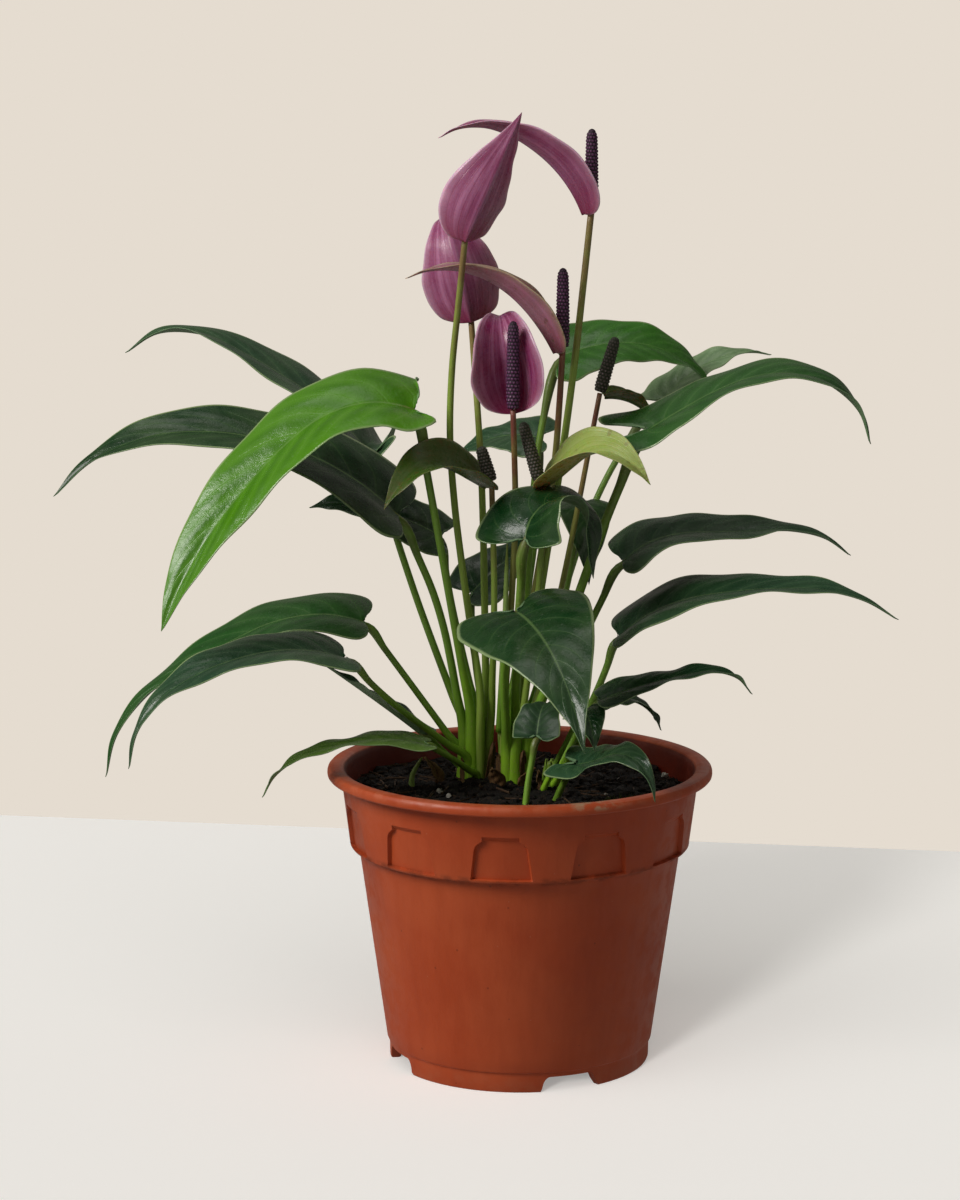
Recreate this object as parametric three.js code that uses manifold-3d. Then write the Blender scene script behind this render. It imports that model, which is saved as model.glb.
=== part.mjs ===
// Potted anthurium: a compact anthurium with 22 leaves and 8 flowers in a terracotta-coloured nursery pot.
// Millimetres, +Z up, +X to the right and +Y to the back. The pot stands on Z = 0.

import * as THREE from 'three';
import { mergeVertices } from 'three/addons/utils/BufferGeometryUtils.js';
import Module from 'manifold-3d';

const wasm = await Module();
wasm.setup();

// ---------------------------------------------------------------- driving dimensions

const GAP = 0.3;                    // clearance between pieces that touch

// Pot
const POT_HEIGHT = 117;
const RIM_RADIUS = 75;              // outside of the rolled rim
const RIM_DEPTH = 4;                // height of the rolled rim
const WALL = 2;
const COLLAR_TOP_RADIUS = 69.6;
const COLLAR_FOOT_RADIUS = 66.2;
const COLLAR_FOOT_Z = 86;
const BODY_TOP_RADIUS = 62.6;       // just under the collar
const BODY_FOOT_RADIUS = 52;
const FLOOR_Z = 8;                  // underside of the pot's floor
const FOOT_RING_RADIUS = 51;
const FOOT_RING_WIDTH = 4;
const POT_SIDES = 55;

// Windows moulded into the collar
const WINDOW_COUNT = 11;
const WINDOW_FOOT_WIDTH = 22.4;
const WINDOW_TOP_WIDTH = 14.6;
const WINDOW_FOOT_Z = 86.6;
const WINDOW_TOP_Z = 102;
const WINDOW_CHAMFER = 4;
const WINDOW_DEPTH = 1.3;
const WINDOW_START = -6.6;          // degrees from the front, towards +X

// Notches in the foot ring and drain holes in the floor
const NOTCH_COUNT = 4;
const NOTCH_START = 22;
const NOTCH_WIDTH = 23;
const NOTCH_HEIGHT = 6;
const DRAIN_RADIUS = 5;
const DRAIN_CIRCLE = 36;

// Soil
const SOIL_Z = 106;
const SOIL_RELIEF = 1.1;
const SOIL_SIDES = 32;

// Leaves: rows of the blade as [place on the midrib, place of the margin, half width], each a share of
// the blade's length or of its half width. Margins behind 0 are the lobes on both sides of the stalk.
const BLADE_ROWS = [
  [0.00, 0.00, 0.11],
  [0.015, -0.10, 0.42],
  [0.035, -0.11, 0.76],
  [0.07, -0.01, 0.98],
  [0.15, 0.12, 1.00],
  [0.27, 0.27, 0.89],
  [0.41, 0.43, 0.71],
  [0.56, 0.59, 0.49],
  [0.72, 0.75, 0.27],
  [0.87, 0.88, 0.10],
];
const BLADE_THICKNESS = 1.3;
const BLADE_PATH_STEPS = 40;        // straight steps that a midrib's course is made of
const KEEL_DEPTH = 0.8;             // depth of a leaf's keel at the base, in stalk radii
const KEEL_START = 0.05;            // share of the length where the midrib's keel has its full depth
const LOBE_LEVEL = 0.4;             // share of the first pitch that the lobes keep behind the base
const LOBE_BEND = 0.06;             // share of the length over which the lobes turn to that pitch
const JOINT_ROOM = 2.2;             // stalk radii between the stalk's last ring and the blade
const PETIOLE_STEPS = 6;
const SHEATH_SWELL = 0.25;          // how much thicker a leaf stalk is at its sheathing foot

// Spathes: the same kind of rows, with short lobes that clasp the stalk.
const SPATHE_ROWS = [
  [0.00, -0.02, 0.20],
  [0.02, -0.03, 0.42],
  [0.06, 0.01, 0.68],
  [0.14, 0.11, 0.90],
  [0.27, 0.26, 1.00],
  [0.42, 0.43, 0.90],
  [0.58, 0.60, 0.66],
  [0.75, 0.77, 0.36],
  [0.90, 0.91, 0.12],
];
const SPATHE_THICKNESS = 1.1;
const SPATHE_OFFSET = 2.6;          // from the stalk's axis to the start of the spathe's midrib
const STALK_STEPS = 7;
const SPATHE_KEEL = 0.3;
const SPATHE_HEEL = 0.5;            // from the first row of a spathe back to its heel
const SPADIX_RADIUS = 2.5;

// A spadix's outline, as [share of its radius, share of its length].
const SPADIX_PROFILE = [[0, 0], [0.7, 0], [1, 0.12], [0.96, 0.5], [0.8, 0.82], [0.45, 0.96], [0, 1]];
const SPADIX_SIDES = 8;
const CROWN_SIDES = 12;
const CROWN_ROOT = 12;              // how far a crown reaches down into the soil

// ---------------------------------------------------------------- colours

const TERRACOTTA = new THREE.MeshStandardMaterial({ color: 0x9c4a30, roughness: 0.55, metalness: 0 });
const PEAT = new THREE.MeshStandardMaterial({ color: 0x2a211c, roughness: 0.95, metalness: 0 });
const STEM_BROWN = new THREE.MeshStandardMaterial({ color: 0x6f6138, roughness: 0.7, metalness: 0 });
const DRY_SCALE = new THREE.MeshStandardMaterial({ color: 0x6e5238, roughness: 0.85, metalness: 0 });
const DARK_LEAF = new THREE.MeshStandardMaterial({ color: 0x1d3a28, roughness: 0.38, metalness: 0 });
const BRIGHT_LEAF = new THREE.MeshStandardMaterial({ color: 0x4f8a1e, roughness: 0.35, metalness: 0 });
const STALK_GREEN = new THREE.MeshStandardMaterial({ color: 0x5d7a30, roughness: 0.5, metalness: 0 });
const PINK = new THREE.MeshStandardMaterial({ color: 0x96487a, roughness: 0.4, metalness: 0 });
const OLIVE = new THREE.MeshStandardMaterial({ color: 0x8a9440, roughness: 0.45, metalness: 0 });
const SPADIX_DARK = new THREE.MeshStandardMaterial({ color: 0x2b1a2b, roughness: 0.5, metalness: 0 });

// ---------------------------------------------------------------- the plant

// Where the leaves and flowers come from: three short stems that stand in the soil.
const CROWNS = [
  { name: 'crown_main', at: [-17, 17], radius: 5.8, top: 130 },
  { name: 'crown_second', at: [-3, 11], radius: 5.4, top: 128 },
  { name: 'crown_small', at: [12, 0], radius: 4.5, top: 117 },
];

// Each leaf: the stalk runs foot, via, base; the midrib leaves the base at a heading, turns by its sweep
// on the way and takes the four pitches at even steps from the base to the tip, all in degrees. Roll
// lowers the right-hand margin and twist adds to it towards the tip. Fold lifts both margins and curl
// turns them down again. Lobe stretches the two lobes behind the base, which keep the pitch lobePitch
// where one is given. Full widens the blade towards its tip.
const LEAVES = [
  { name: 'leaf_left_1', foot: [-20, 23, 122], via: [-41, 36, 177], base: [-59, 50, 231], stalk: 1.5,
    heading: 172, pitch: [58, 33, 21, -46], sweep: 0, roll: -8, length: 120, half: 22,
    fold: 14, curl: 0.2, lobe: 1.2, lobePitch: -45, full: 1.2, colour: DARK_LEAF },
  { name: 'leaf_left_2', foot: [-19, 12, 133], via: [-32, -6, 211], base: [-40, -12, 257], stalk: 1.6,
    heading: 188, pitch: [22, -36, -50, -66], sweep: 30, roll: -22, length: 140, half: 23,
    fold: 20, curl: 0.25, lobe: 0.3, lobePitch: -50, full: 1.7, colour: BRIGHT_LEAF },
  { name: 'leaf_left_3', foot: [-22, 16, 127], via: [-32, 8, 178], base: [-47, 7, 214], stalk: 1.6,
    heading: 186, pitch: [46, 20, -8, -52], sweep: 0, roll: -24, length: 149, half: 25,
    fold: 16, curl: 0.2, lobe: 0.2, full: 1.25, colour: DARK_LEAF },
  { name: 'leaf_left_4', foot: [-17, 22, 133], via: [-27, 24, 178], base: [-31, 26, 203], stalk: 1.4,
    heading: 172, pitch: [30, 18, 8, -20], sweep: 0, roll: -30, length: 55, half: 14,
    fold: 10, curl: 0.2, lobe: 0.8, full: 1.4, colour: DARK_LEAF },
  { name: 'leaf_left_5', foot: [-22.5, 17, 117], via: [-47, 13, 152], base: [-61, 14, 171], stalk: 1.4,
    heading: 182, pitch: [19, -24, -37, -86], sweep: 0, roll: -14, length: 132, half: 20,
    fold: 14, curl: 0.2, lobe: 0.15, colour: DARK_LEAF },
  { name: 'leaf_left_6', foot: [-20, 11, 116], via: [-52, -12, 146], base: [-67, -20, 163], stalk: 1.4,
    heading: 203, pitch: [21, -7, -32, -88], sweep: 0, roll: -10, length: 107, half: 19,
    fold: 14, curl: 0.2, lobe: 0.15, colour: DARK_LEAF },
  { name: 'leaf_left_7', foot: [-23, 16, 112], via: [-30, 13, 119], base: [-37, 10, 127], stalk: 1.2,
    heading: 172, pitch: [36, 34, 33, 31], sweep: 0, roll: 8, length: 49, half: 10,
    fold: 20, curl: 0.1, lobe: 0.6, colour: DARK_LEAF },
  { name: 'leaf_left_8', foot: [-17, 10, 110], via: [-26, -6, 120], base: [-37, -18, 129], stalk: 1.3,
    heading: 192, pitch: [19, -6, -20, -71], sweep: 0, roll: -6, length: 71, half: 9.5,
    fold: 10, curl: 0.2, lobe: 0.5, colour: DARK_LEAF },
  { name: 'leaf_back_1', foot: [-5, 16, 129], via: [7, 33, 207], base: [8, 44, 240], stalk: 1.3,
    heading: 165, pitch: [11, -8, -28, -49], sweep: 0, roll: -24, length: 40, half: 15,
    fold: 10, curl: 0.2, lobe: 1.2, colour: DARK_LEAF },
  { name: 'leaf_back_2', foot: [-13, 23, 122], via: [-18, 29, 157], base: [-19, 34, 179], stalk: 1.3,
    heading: 30, pitch: [42, 33, 22, 9], sweep: 0, roll: 20, length: 46, half: 15,
    fold: 14, curl: 0.2, lobe: 1, colour: DARK_LEAF },
  { name: 'leaf_centre_1', foot: [-2, 5, 129], via: [-1, -18, 172], base: [1, -32, 210], stalk: 1.8,
    heading: 50, pitch: [80, 15, -80, -80], sweep: -100, roll: 0, length: 60, half: 22,
    fold: 16, curl: 0.1, lobe: 1, colour: DARK_LEAF },
  { name: 'leaf_centre_2', foot: [3, 17, 126], via: [19, 30, 182], base: [25, 34, 215], stalk: 1.3,
    heading: -80, pitch: [-10, -60, -85, -85], sweep: 0, roll: 0, length: 37, half: 11,
    fold: 6, curl: 0.2, lobe: 1, colour: DARK_LEAF },
  { name: 'leaf_front_1', foot: [-5, 5, 122], via: [-6, -14, 158], base: [-2, -38, 184], stalk: 1.7,
    heading: -70, pitch: [-3, -20, -39, -61], sweep: 0, roll: 19, length: 84, half: 25.5,
    fold: 12, curl: 0.25, lobe: 1, colour: DARK_LEAF },
  { name: 'leaf_front_2', foot: [1, -28, 98], via: [3, -26, 116], base: [6, -24, 133], stalk: 1.3,
    heading: 70, pitch: [74, 50, -6, -50], sweep: 0, roll: -6, length: 26, half: 10.5,
    fold: 16, curl: 0.2, lobe: 1, colour: DARK_LEAF },
  { name: 'leaf_front_3', foot: [9, -7, 108], via: [15, -15, 123], base: [23, -27.5, 143], stalk: 1.1,
    heading: -70, pitch: [24, -30, -62, -74], sweep: 0, roll: 14, length: 22, half: 8.5,
    fold: 12, curl: 0.2, lobe: 0.5, colour: DARK_LEAF },
  { name: 'leaf_right_1', foot: [0, 17, 133], via: [8, 29, 241], base: [16, 36, 273], stalk: 1.5,
    heading: 5, pitch: [22, 4, -24, -52], sweep: 0, roll: 30, length: 66, half: 18,
    fold: 12, curl: 0.2, lobe: 0.5, full: 1.5, colour: BRIGHT_LEAF },
  { name: 'leaf_right_2', foot: [0, 19, 120], via: [34, 44, 222], base: [57, 56, 253], stalk: 1.4,
    heading: 12, pitch: [49, 34, 12, -17], sweep: 0, roll: 16, length: 52, half: 14,
    fold: 12, curl: 0.2, lobe: 1, colour: DARK_LEAF },
  { name: 'leaf_right_3', foot: [3, 8, 124], via: [35, 0, 218], base: [48, -2, 248], stalk: 1.9,
    heading: -5, pitch: [33, 24, -18, -84], sweep: 0, roll: 18, twist: -14, length: 105, half: 18.5,
    fold: 14, curl: 0.2, lobe: 1.6, lobePitch: 10, full: 1.6, colour: DARK_LEAF },
  { name: 'leaf_right_4', foot: [3, 11, 116], via: [31, 9, 178], base: [40, 8, 196], stalk: 1.5,
    heading: 3, pitch: [45, 1, 1, -45], sweep: 0, roll: 12, length: 95, half: 20,
    fold: 16, curl: 0.2, lobe: 0.15, colour: DARK_LEAF },
  { name: 'leaf_right_5', foot: [14, 0, 112], via: [30, -4, 147], base: [38, -6, 169], stalk: 1.5,
    heading: -8, pitch: [44, 11, -1, -37], sweep: 0, roll: 12, length: 114, half: 20,
    fold: 16, curl: 0.2, lobe: 0.15, colour: DARK_LEAF },
  { name: 'leaf_right_6', foot: [13, -4, 109], via: [22, -14, 128], base: [30, -22, 147], stalk: 1.3,
    heading: 2, pitch: [22, 14, 4, -65], sweep: 0, roll: 10, length: 64, half: 11,
    fold: 14, curl: 0.2, lobe: 0.15, colour: DARK_LEAF },
  { name: 'leaf_right_7', foot: [13, 4, 107], via: [24, 6, 124], base: [32, 7, 139], stalk: 1.2,
    heading: 5, pitch: [36, -6, -45, -75], sweep: 0, roll: 8, length: 31, half: 9,
    fold: 14, curl: 0.2, lobe: 1, colour: DARK_LEAF },
  { name: 'leaf_right_8', foot: [11, -14, 98], via: [16, -22, 113], base: [21, -31, 124], stalk: 1.4,
    heading: -50, pitch: [12, 22, -24, -88], sweep: 0, roll: 28, length: 54, half: 10,
    fold: 12, curl: 0.2, lobe: 1.9, colour: DARK_LEAF },
];

// Each flower: the stalk runs foot, via, top; the spadix stands on the top at a lean from upright towards
// +X; the spathe leaves the top as a blade does, and its own lean tips it about the way that it faces.
const FLOWERS = [
  { name: 'flower_1', foot: [-15.2, 10.6, 139], via: [-27, 3, 245], top: [-21, -14, 322], stalk: 1.3,
    spadix: 24, spadixLean: 20, heading: -90, pitch: [66, 84, 98, 112], lean: -24, roll: 24, length: 53,
    half: 13, fold: 14, curl: -0.45, colour: PINK },
  { name: 'flower_2', foot: [1, 13, 136], via: [19, 4, 259], top: [27, 8, 331], stalk: 1.4,
    spadix: 30, spadixLean: 0, heading: 185, pitch: [68, 43, 17, -35], lean: 0, length: 71,
    half: 14, fold: 14, curl: -0.4, colour: PINK },
  { name: 'flower_3', foot: [-13, 18, 138], via: [-15, 18, 229], top: [-19, 22, 289], stalk: 1.3,
    spadix: 24, spadixLean: -4, heading: -90, pitch: [70, 90, 140, 220], lean: 14, roll: 0, length: 60,
    half: 15.5, fold: 14, curl: -0.4, colour: PINK },
  { name: 'flower_4', foot: [-2, 10, 137], via: [13, 2, 233], top: [16, -2, 279], stalk: 1.3,
    spadix: 30, spadixLean: 0, heading: 182, pitch: [63, 44, 13, -27], lean: 0, length: 71,
    half: 11.5, fold: 14, curl: -0.4, colour: PINK },
  { name: 'flower_5', foot: [-6, 9, 136], via: [-2, -4, 213], top: [-3, -16, 257], stalk: 1.2,
    spadix: 33, spadixLean: 0, heading: 90, pitch: [64, 94, 40, -40], lean: -8, length: 52,
    half: 14, fold: 12, curl: -0.5, colour: PINK },
  { name: 'flower_6', foot: [1, 8, 131], via: [8, -3, 200], top: [7, -9, 229], stalk: 1.2,
    spadix: 23, spadixLean: -16, heading: -34, pitch: [29, 36, -18, -51], lean: 0, length: 55,
    half: 12.5, fold: 14, curl: -0.3, roll: 25, colour: OLIVE },
  { name: 'flower_7', foot: [-11, 14, 134], via: [-10, 0, 182], top: [-11, -6, 228], stalk: 1.2,
    spadix: 14, spadixLean: -18, heading: 215, pitch: [28, 22, -29, -59], lean: 0, length: 55,
    half: 12, fold: 14, curl: -0.3, roll: -25, colour: OLIVE },
  { name: 'flower_8', foot: [4, 13, 127], via: [19, 18, 196], top: [31, 17, 260], stalk: 1.1,
    spadix: 22, spadixLean: 16, heading: 20, pitch: [0, -20, -40, -60], lean: 0, length: 26,
    half: 7, fold: 14, curl: -0.3, colour: OLIVE },
];

// Young shoots, each a plain tapering spike.
const SHOOTS = [
  { name: 'young_shoot', points: [[-8, 8, 128], [-6, 1, 168], [-5, -3, 204]], radius: 1.4 },
  { name: 'soil_sprout', points: [[-40, 0, 98], [-42, -2, 112], [-38, -3, 120]], radius: 1.3 },
];

// Dry scale leaves that stand on the soil beside the crowns.
const SCALES = [
  { name: 'dry_scale_left', at: [-32, 2], heading: 150, length: 12, half: 4 },
  { name: 'dry_scale_middle', at: [-9, -6], heading: 250, length: 11, half: 4 },
  { name: 'dry_scale_right', at: [2, -4], heading: 320, length: 10, half: 4 },
];

// ---------------------------------------------------------------- solids

const radians = THREE.MathUtils.degToRad;
const vector = (xyz) => new THREE.Vector3(...xyz);

// A closed three.js geometry as a manifold solid.
function toSolid(geometry) {
  const bare = geometry.clone();
  bare.deleteAttribute('normal');
  bare.deleteAttribute('uv');
  const merged = mergeVertices(bare, 1e-4);
  return new wasm.Manifold(new wasm.Mesh({
    numProp: 3,
    vertProperties: new Float32Array(merged.attributes.position.array),
    triVerts: new Uint32Array(merged.index.array),
  }));
}

function toGeometry(solid) {
  const mesh = solid.getMesh();
  const geometry = new THREE.BufferGeometry();
  geometry.setAttribute('position', new THREE.BufferAttribute(new Float32Array(mesh.vertProperties), 3));
  geometry.setIndex(new THREE.BufferAttribute(new Uint32Array(mesh.triVerts), 1));
  return geometry;
}

function lathe(profile, sides) {
  const geometry = new THREE.LatheGeometry(profile.map(([r, z]) => new THREE.Vector2(r, z)), sides);
  return geometry.rotateX(Math.PI / 2);
}

// A body through rings of equally many points, closed by a point at each end. Its upper and lower faces
// are split along the same diagonals, so that they stay parallel where the body twists.
function loft(rings, start, tip) {
  const size = rings[0].length;
  const points = [start, ...rings.flat(), tip];
  const index = [];
  const last = points.length - 1;
  for (let k = 0; k < size; k += 1) {
    const next = (k + 1) % size;
    const mirrored = Math.floor((4 * k) / size) % 2 === 1;
    index.push(0, 1 + next, 1 + k);
    for (let row = 0; row < rings.length - 1; row += 1) {
      const here = 1 + row * size;
      const there = here + size;
      if (mirrored) {
        index.push(here + k, here + next, there + k);
        index.push(here + next, there + next, there + k);
      } else {
        index.push(here + k, here + next, there + next);
        index.push(here + k, there + next, there + k);
      }
    }
    index.push(last - size + k, last - size + next, last);
  }
  const geometry = new THREE.BufferGeometry();
  const flat = points.flatMap((p) => [p.x, p.y, p.z]);
  geometry.setAttribute('position', new THREE.BufferAttribute(new Float32Array(flat), 3));
  geometry.setIndex(index);
  return geometry;
}

// ---------------------------------------------------------------- pot

function potBody() {
  const bodySlope = (COLLAR_FOOT_RADIUS - BODY_FOOT_RADIUS) / (COLLAR_FOOT_Z - FLOOR_Z);
  const profile = [
    [0, FLOOR_Z],
    [FOOT_RING_RADIUS - FOOT_RING_WIDTH, FLOOR_Z],
    [FOOT_RING_RADIUS - FOOT_RING_WIDTH, 0],
    [FOOT_RING_RADIUS - 0.6, 0],
    [FOOT_RING_RADIUS, 0.8],
    [FOOT_RING_RADIUS, FLOOR_Z - 0.4],
    [BODY_FOOT_RADIUS, FLOOR_Z],
    [BODY_TOP_RADIUS, COLLAR_FOOT_Z - 0.6],
    [COLLAR_FOOT_RADIUS, COLLAR_FOOT_Z],
    [COLLAR_TOP_RADIUS, POT_HEIGHT - RIM_DEPTH],
    [RIM_RADIUS - 0.7, POT_HEIGHT - RIM_DEPTH],
    [RIM_RADIUS, POT_HEIGHT - RIM_DEPTH + 1],
    [RIM_RADIUS - 0.4, POT_HEIGHT - 1],
    [RIM_RADIUS - 1.8, POT_HEIGHT],
    [COLLAR_TOP_RADIUS + 1, POT_HEIGHT],
    [COLLAR_TOP_RADIUS - WALL, POT_HEIGHT - 2],
    [COLLAR_FOOT_RADIUS - WALL - 1, COLLAR_FOOT_Z + 4],
    [BODY_TOP_RADIUS - WALL, COLLAR_FOOT_Z - 4],
    [BODY_FOOT_RADIUS - WALL + bodySlope * WALL, FLOOR_Z + WALL],
    [0, FLOOR_Z + WALL],
  ];
  return toSolid(lathe(profile, POT_SIDES));
}

// One window's outline, pushed out through the collar.
function windowPrism(angle) {
  const foot = WINDOW_FOOT_WIDTH / 2;
  const top = WINDOW_TOP_WIDTH / 2;
  const outline = new THREE.Shape();
  outline.moveTo(-foot, WINDOW_FOOT_Z);
  outline.lineTo(foot, WINDOW_FOOT_Z);
  outline.lineTo(top + WINDOW_CHAMFER / 2, WINDOW_TOP_Z - WINDOW_CHAMFER);
  outline.lineTo(top - WINDOW_CHAMFER / 2, WINDOW_TOP_Z);
  outline.lineTo(-top + WINDOW_CHAMFER / 2, WINDOW_TOP_Z);
  outline.lineTo(-top - WINDOW_CHAMFER / 2, WINDOW_TOP_Z - WINDOW_CHAMFER);
  const prism = new THREE.ExtrudeGeometry(outline, { depth: RIM_RADIUS, bevelEnabled: false });
  return toSolid(prism.rotateX(Math.PI / 2).rotateZ(radians(angle)));
}

// The band of the collar that the windows cut away: everything outside its recessed surface.
function windowBand() {
  const inner = (z) => THREE.MathUtils.mapLinear(
    z, COLLAR_FOOT_Z, POT_HEIGHT - RIM_DEPTH, COLLAR_FOOT_RADIUS, COLLAR_TOP_RADIUS) - WINDOW_DEPTH;
  const low = WINDOW_FOOT_Z - 1;
  const high = WINDOW_TOP_Z + 1;
  const profile = [
    [inner(low), low],
    [RIM_RADIUS, low],
    [RIM_RADIUS, high],
    [inner(high), high],
    [inner(low), low],
  ];
  return toSolid(lathe(profile, POT_SIDES));
}

function footNotch(angle) {
  const block = new THREE.BoxGeometry(NOTCH_WIDTH, FOOT_RING_WIDTH * 5, NOTCH_HEIGHT * 2);
  return toSolid(block.translate(0, -FOOT_RING_RADIUS, 0).rotateZ(radians(angle)));
}

function drainHole(angle) {
  const hole = new THREE.CylinderGeometry(DRAIN_RADIUS, DRAIN_RADIUS, 4 * WALL, 16).rotateX(Math.PI / 2);
  return toSolid(hole.translate(0, -DRAIN_CIRCLE, FLOOR_Z + WALL / 2).rotateZ(radians(angle)));
}

function pot() {
  let solid = potBody();
  const band = windowBand();
  for (let k = 0; k < WINDOW_COUNT; k += 1) {
    const angle = WINDOW_START + (360 / WINDOW_COUNT) * k;
    solid = solid.subtract(windowPrism(angle).intersect(band));
  }
  for (let k = 0; k < NOTCH_COUNT; k += 1) {
    const angle = NOTCH_START + (360 / NOTCH_COUNT) * k;
    solid = solid.subtract(footNotch(angle)).subtract(drainHole(angle));
  }
  return solid;
}

// ---------------------------------------------------------------- stems and blades

// The pitch at a share of the length, on a smooth curve through evenly spaced pitches.
function pitchAt(pitches, share) {
  const knots = pitches.map((pitch, k) => new THREE.Vector3(k, pitch, 0));
  return new THREE.CatmullRomCurve3(knots, false, 'catmullrom', 0.5).getPoint(share).y;
}

// The blade's frame at a share of its length: the midrib point, its direction, its right-hand side and
// the way that its upper face looks. Behind the base the midrib turns to the pitch of the lobes.
function bladeFrames(spec) {
  const steps = BLADE_PATH_STEPS;
  const facing = new THREE.Vector3(Math.cos(radians(spec.heading)), Math.sin(radians(spec.heading)), 0);
  const tilt = new THREE.Quaternion().setFromAxisAngle(facing, radians(spec.lean ?? 0));
  const axesAt = (share) => {
    const s = Math.max(share, 0);
    const behind = Math.min(-Math.min(share, 0) / LOBE_BEND, 1);
    const lobePitch = spec.lobePitch ?? spec.pitch[0] * LOBE_LEVEL;
    const pitch = radians(THREE.MathUtils.lerp(pitchAt(spec.pitch, s), lobePitch, behind));
    const turn = radians(spec.heading + (spec.sweep ?? 0) * s);
    const ahead = new THREE.Vector3(
      Math.cos(pitch) * Math.cos(turn), Math.cos(pitch) * Math.sin(turn), Math.sin(pitch));
    const roll = radians((spec.roll ?? 0) + (spec.twist ?? 0) * s);
    const level = new THREE.Vector3(Math.sin(turn), -Math.cos(turn), 0);
    const above = level.clone().cross(ahead);
    const right = level.clone().multiplyScalar(Math.cos(roll)).addScaledVector(above, -Math.sin(roll));
    const up = above.multiplyScalar(Math.cos(roll)).addScaledVector(level, Math.sin(roll));
    return {
      ahead: ahead.applyQuaternion(tilt),
      right: right.applyQuaternion(tilt),
      up: up.applyQuaternion(tilt),
    };
  };
  const path = [spec.start.clone()];
  for (let k = 0; k < steps; k += 1) {
    const step = axesAt((k + 0.5) / steps).ahead.multiplyScalar(spec.length / steps);
    path.push(path[k].clone().add(step));
  }
  return (share) => {
    const axes = axesAt(share);
    if (share < 0) {
      return { ...axes, point: path[0].clone().addScaledVector(axes.ahead, share * spec.length) };
    }
    const place = Math.min(share * steps, steps - 1e-6);
    const low = Math.floor(place);
    return { ...axes, point: path[low].clone().lerp(path[low + 1], place - low) };
  };
}

// A point of the blade's middle surface, at a share of the length and a distance out to one side.
function bladePoint(spec, frameAt, share, out) {
  const frame = frameAt(share);
  const fold = radians(spec.fold);
  const side = Math.sign(out);
  const far = Math.abs(out);
  const lift = Math.sin(fold) * far - spec.curl * far * far / spec.half;
  return frame.point.clone()
    .addScaledVector(frame.right, side * Math.cos(fold) * far)
    .addScaledVector(frame.up, lift);
}

// One ring of eight points round the blade: left margin, three on the upper face, right margin, and
// three on the lower face. The middle of the lower face is the keel of the midrib.
function bladeRing(spec, frameAt, [share, edge, width], thickness, keel) {
  const margin = edge < 0 ? edge * (spec.lobe ?? 1) : edge;
  const reach = width ** (1 / (spec.full ?? 1)) * spec.half;
  const at = (u) => bladePoint(spec, frameAt, share + (margin - share) * Math.abs(u), u * reach);
  const up = frameAt(share).up;
  const half = thickness / 2;
  const depth = half + keel * Math.min(1, share / KEEL_START) * (1 - share) ** 2;
  return [
    at(-1),
    at(-0.5).addScaledVector(up, half),
    at(0).addScaledVector(up, half),
    at(0.5).addScaledVector(up, half),
    at(1),
    at(0.5).addScaledVector(up, -half),
    at(0).addScaledVector(up, -depth),
    at(-0.5).addScaledVector(up, -half),
  ];
}

// Eight points round a stalk, numbered as the blade's are.
function stalkRing(centre, ahead, right, radius) {
  const side = right.clone().addScaledVector(ahead, -right.dot(ahead)).normalize();
  const up = side.clone().cross(ahead);
  const ring = [];
  for (let k = 0; k < 8; k += 1) {
    const angle = Math.PI - (k * Math.PI) / 4;
    ring.push(centre.clone()
      .addScaledVector(side, radius * Math.cos(angle))
      .addScaledVector(up, radius * Math.sin(angle)));
  }
  return ring;
}

function stalkCurve(spec) {
  const knots = [spec.foot, spec.via, spec.base ?? spec.top].map(vector);
  return new THREE.CatmullRomCurve3(knots, false, 'centripetal');
}

// The rings of a leaf stalk, thick at its sheathing foot, up to just short of the blade.
function petioleRings(spec, right, extra) {
  const curve = stalkCurve(spec);
  const rings = [];
  for (let k = 0; k <= PETIOLE_STEPS; k += 1) {
    const t = (k / PETIOLE_STEPS) * (1 - (JOINT_ROOM * spec.stalk) / curve.getLength());
    const radius = spec.stalk * (1 + SHEATH_SWELL * (1 - t) ** 4) + extra;
    rings.push(stalkRing(curve.getPointAt(t), curve.getTangentAt(t), right, radius));
  }
  return rings;
}

function leaf(spec) {
  const blade = { ...spec, start: vector(spec.base) };
  const frameAt = bladeFrames(blade);
  const rings = petioleRings(spec, frameAt(0).right, 0);
  for (const row of BLADE_ROWS) {
    const thickness = BLADE_THICKNESS * (1 - row[0] / 2);
    rings.push(bladeRing(blade, frameAt, row, thickness, KEEL_DEPTH * spec.stalk));
  }
  return loft(rings, vector(spec.foot), frameAt(1).point);
}

// The room that a leaf stalk or a flower stalk needs in what it grows from.
function stalkRoom(spec) {
  const right = new THREE.Vector3(Math.sin(radians(spec.heading)), -Math.cos(radians(spec.heading)), 0);
  const rings = petioleRings(spec, right, GAP);
  const foot = vector(spec.foot).addScaledVector(stalkCurve(spec).getTangentAt(0), -GAP * 2);
  return toSolid(loft(rings, foot, vector(spec.base ?? spec.top)));
}

// ---------------------------------------------------------------- flowers

function flowerStalk(spec) {
  const right = new THREE.Vector3(1, 0, 0);
  const curve = stalkCurve(spec);
  const rings = [];
  for (let k = 0; k <= STALK_STEPS; k += 1) {
    const t = k / STALK_STEPS;
    const radius = spec.stalk * (1.15 - 0.25 * t);
    rings.push(stalkRing(curve.getPointAt(t), curve.getTangentAt(t), right, radius));
  }
  return loft(rings, vector(spec.foot), vector(spec.top));
}

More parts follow.
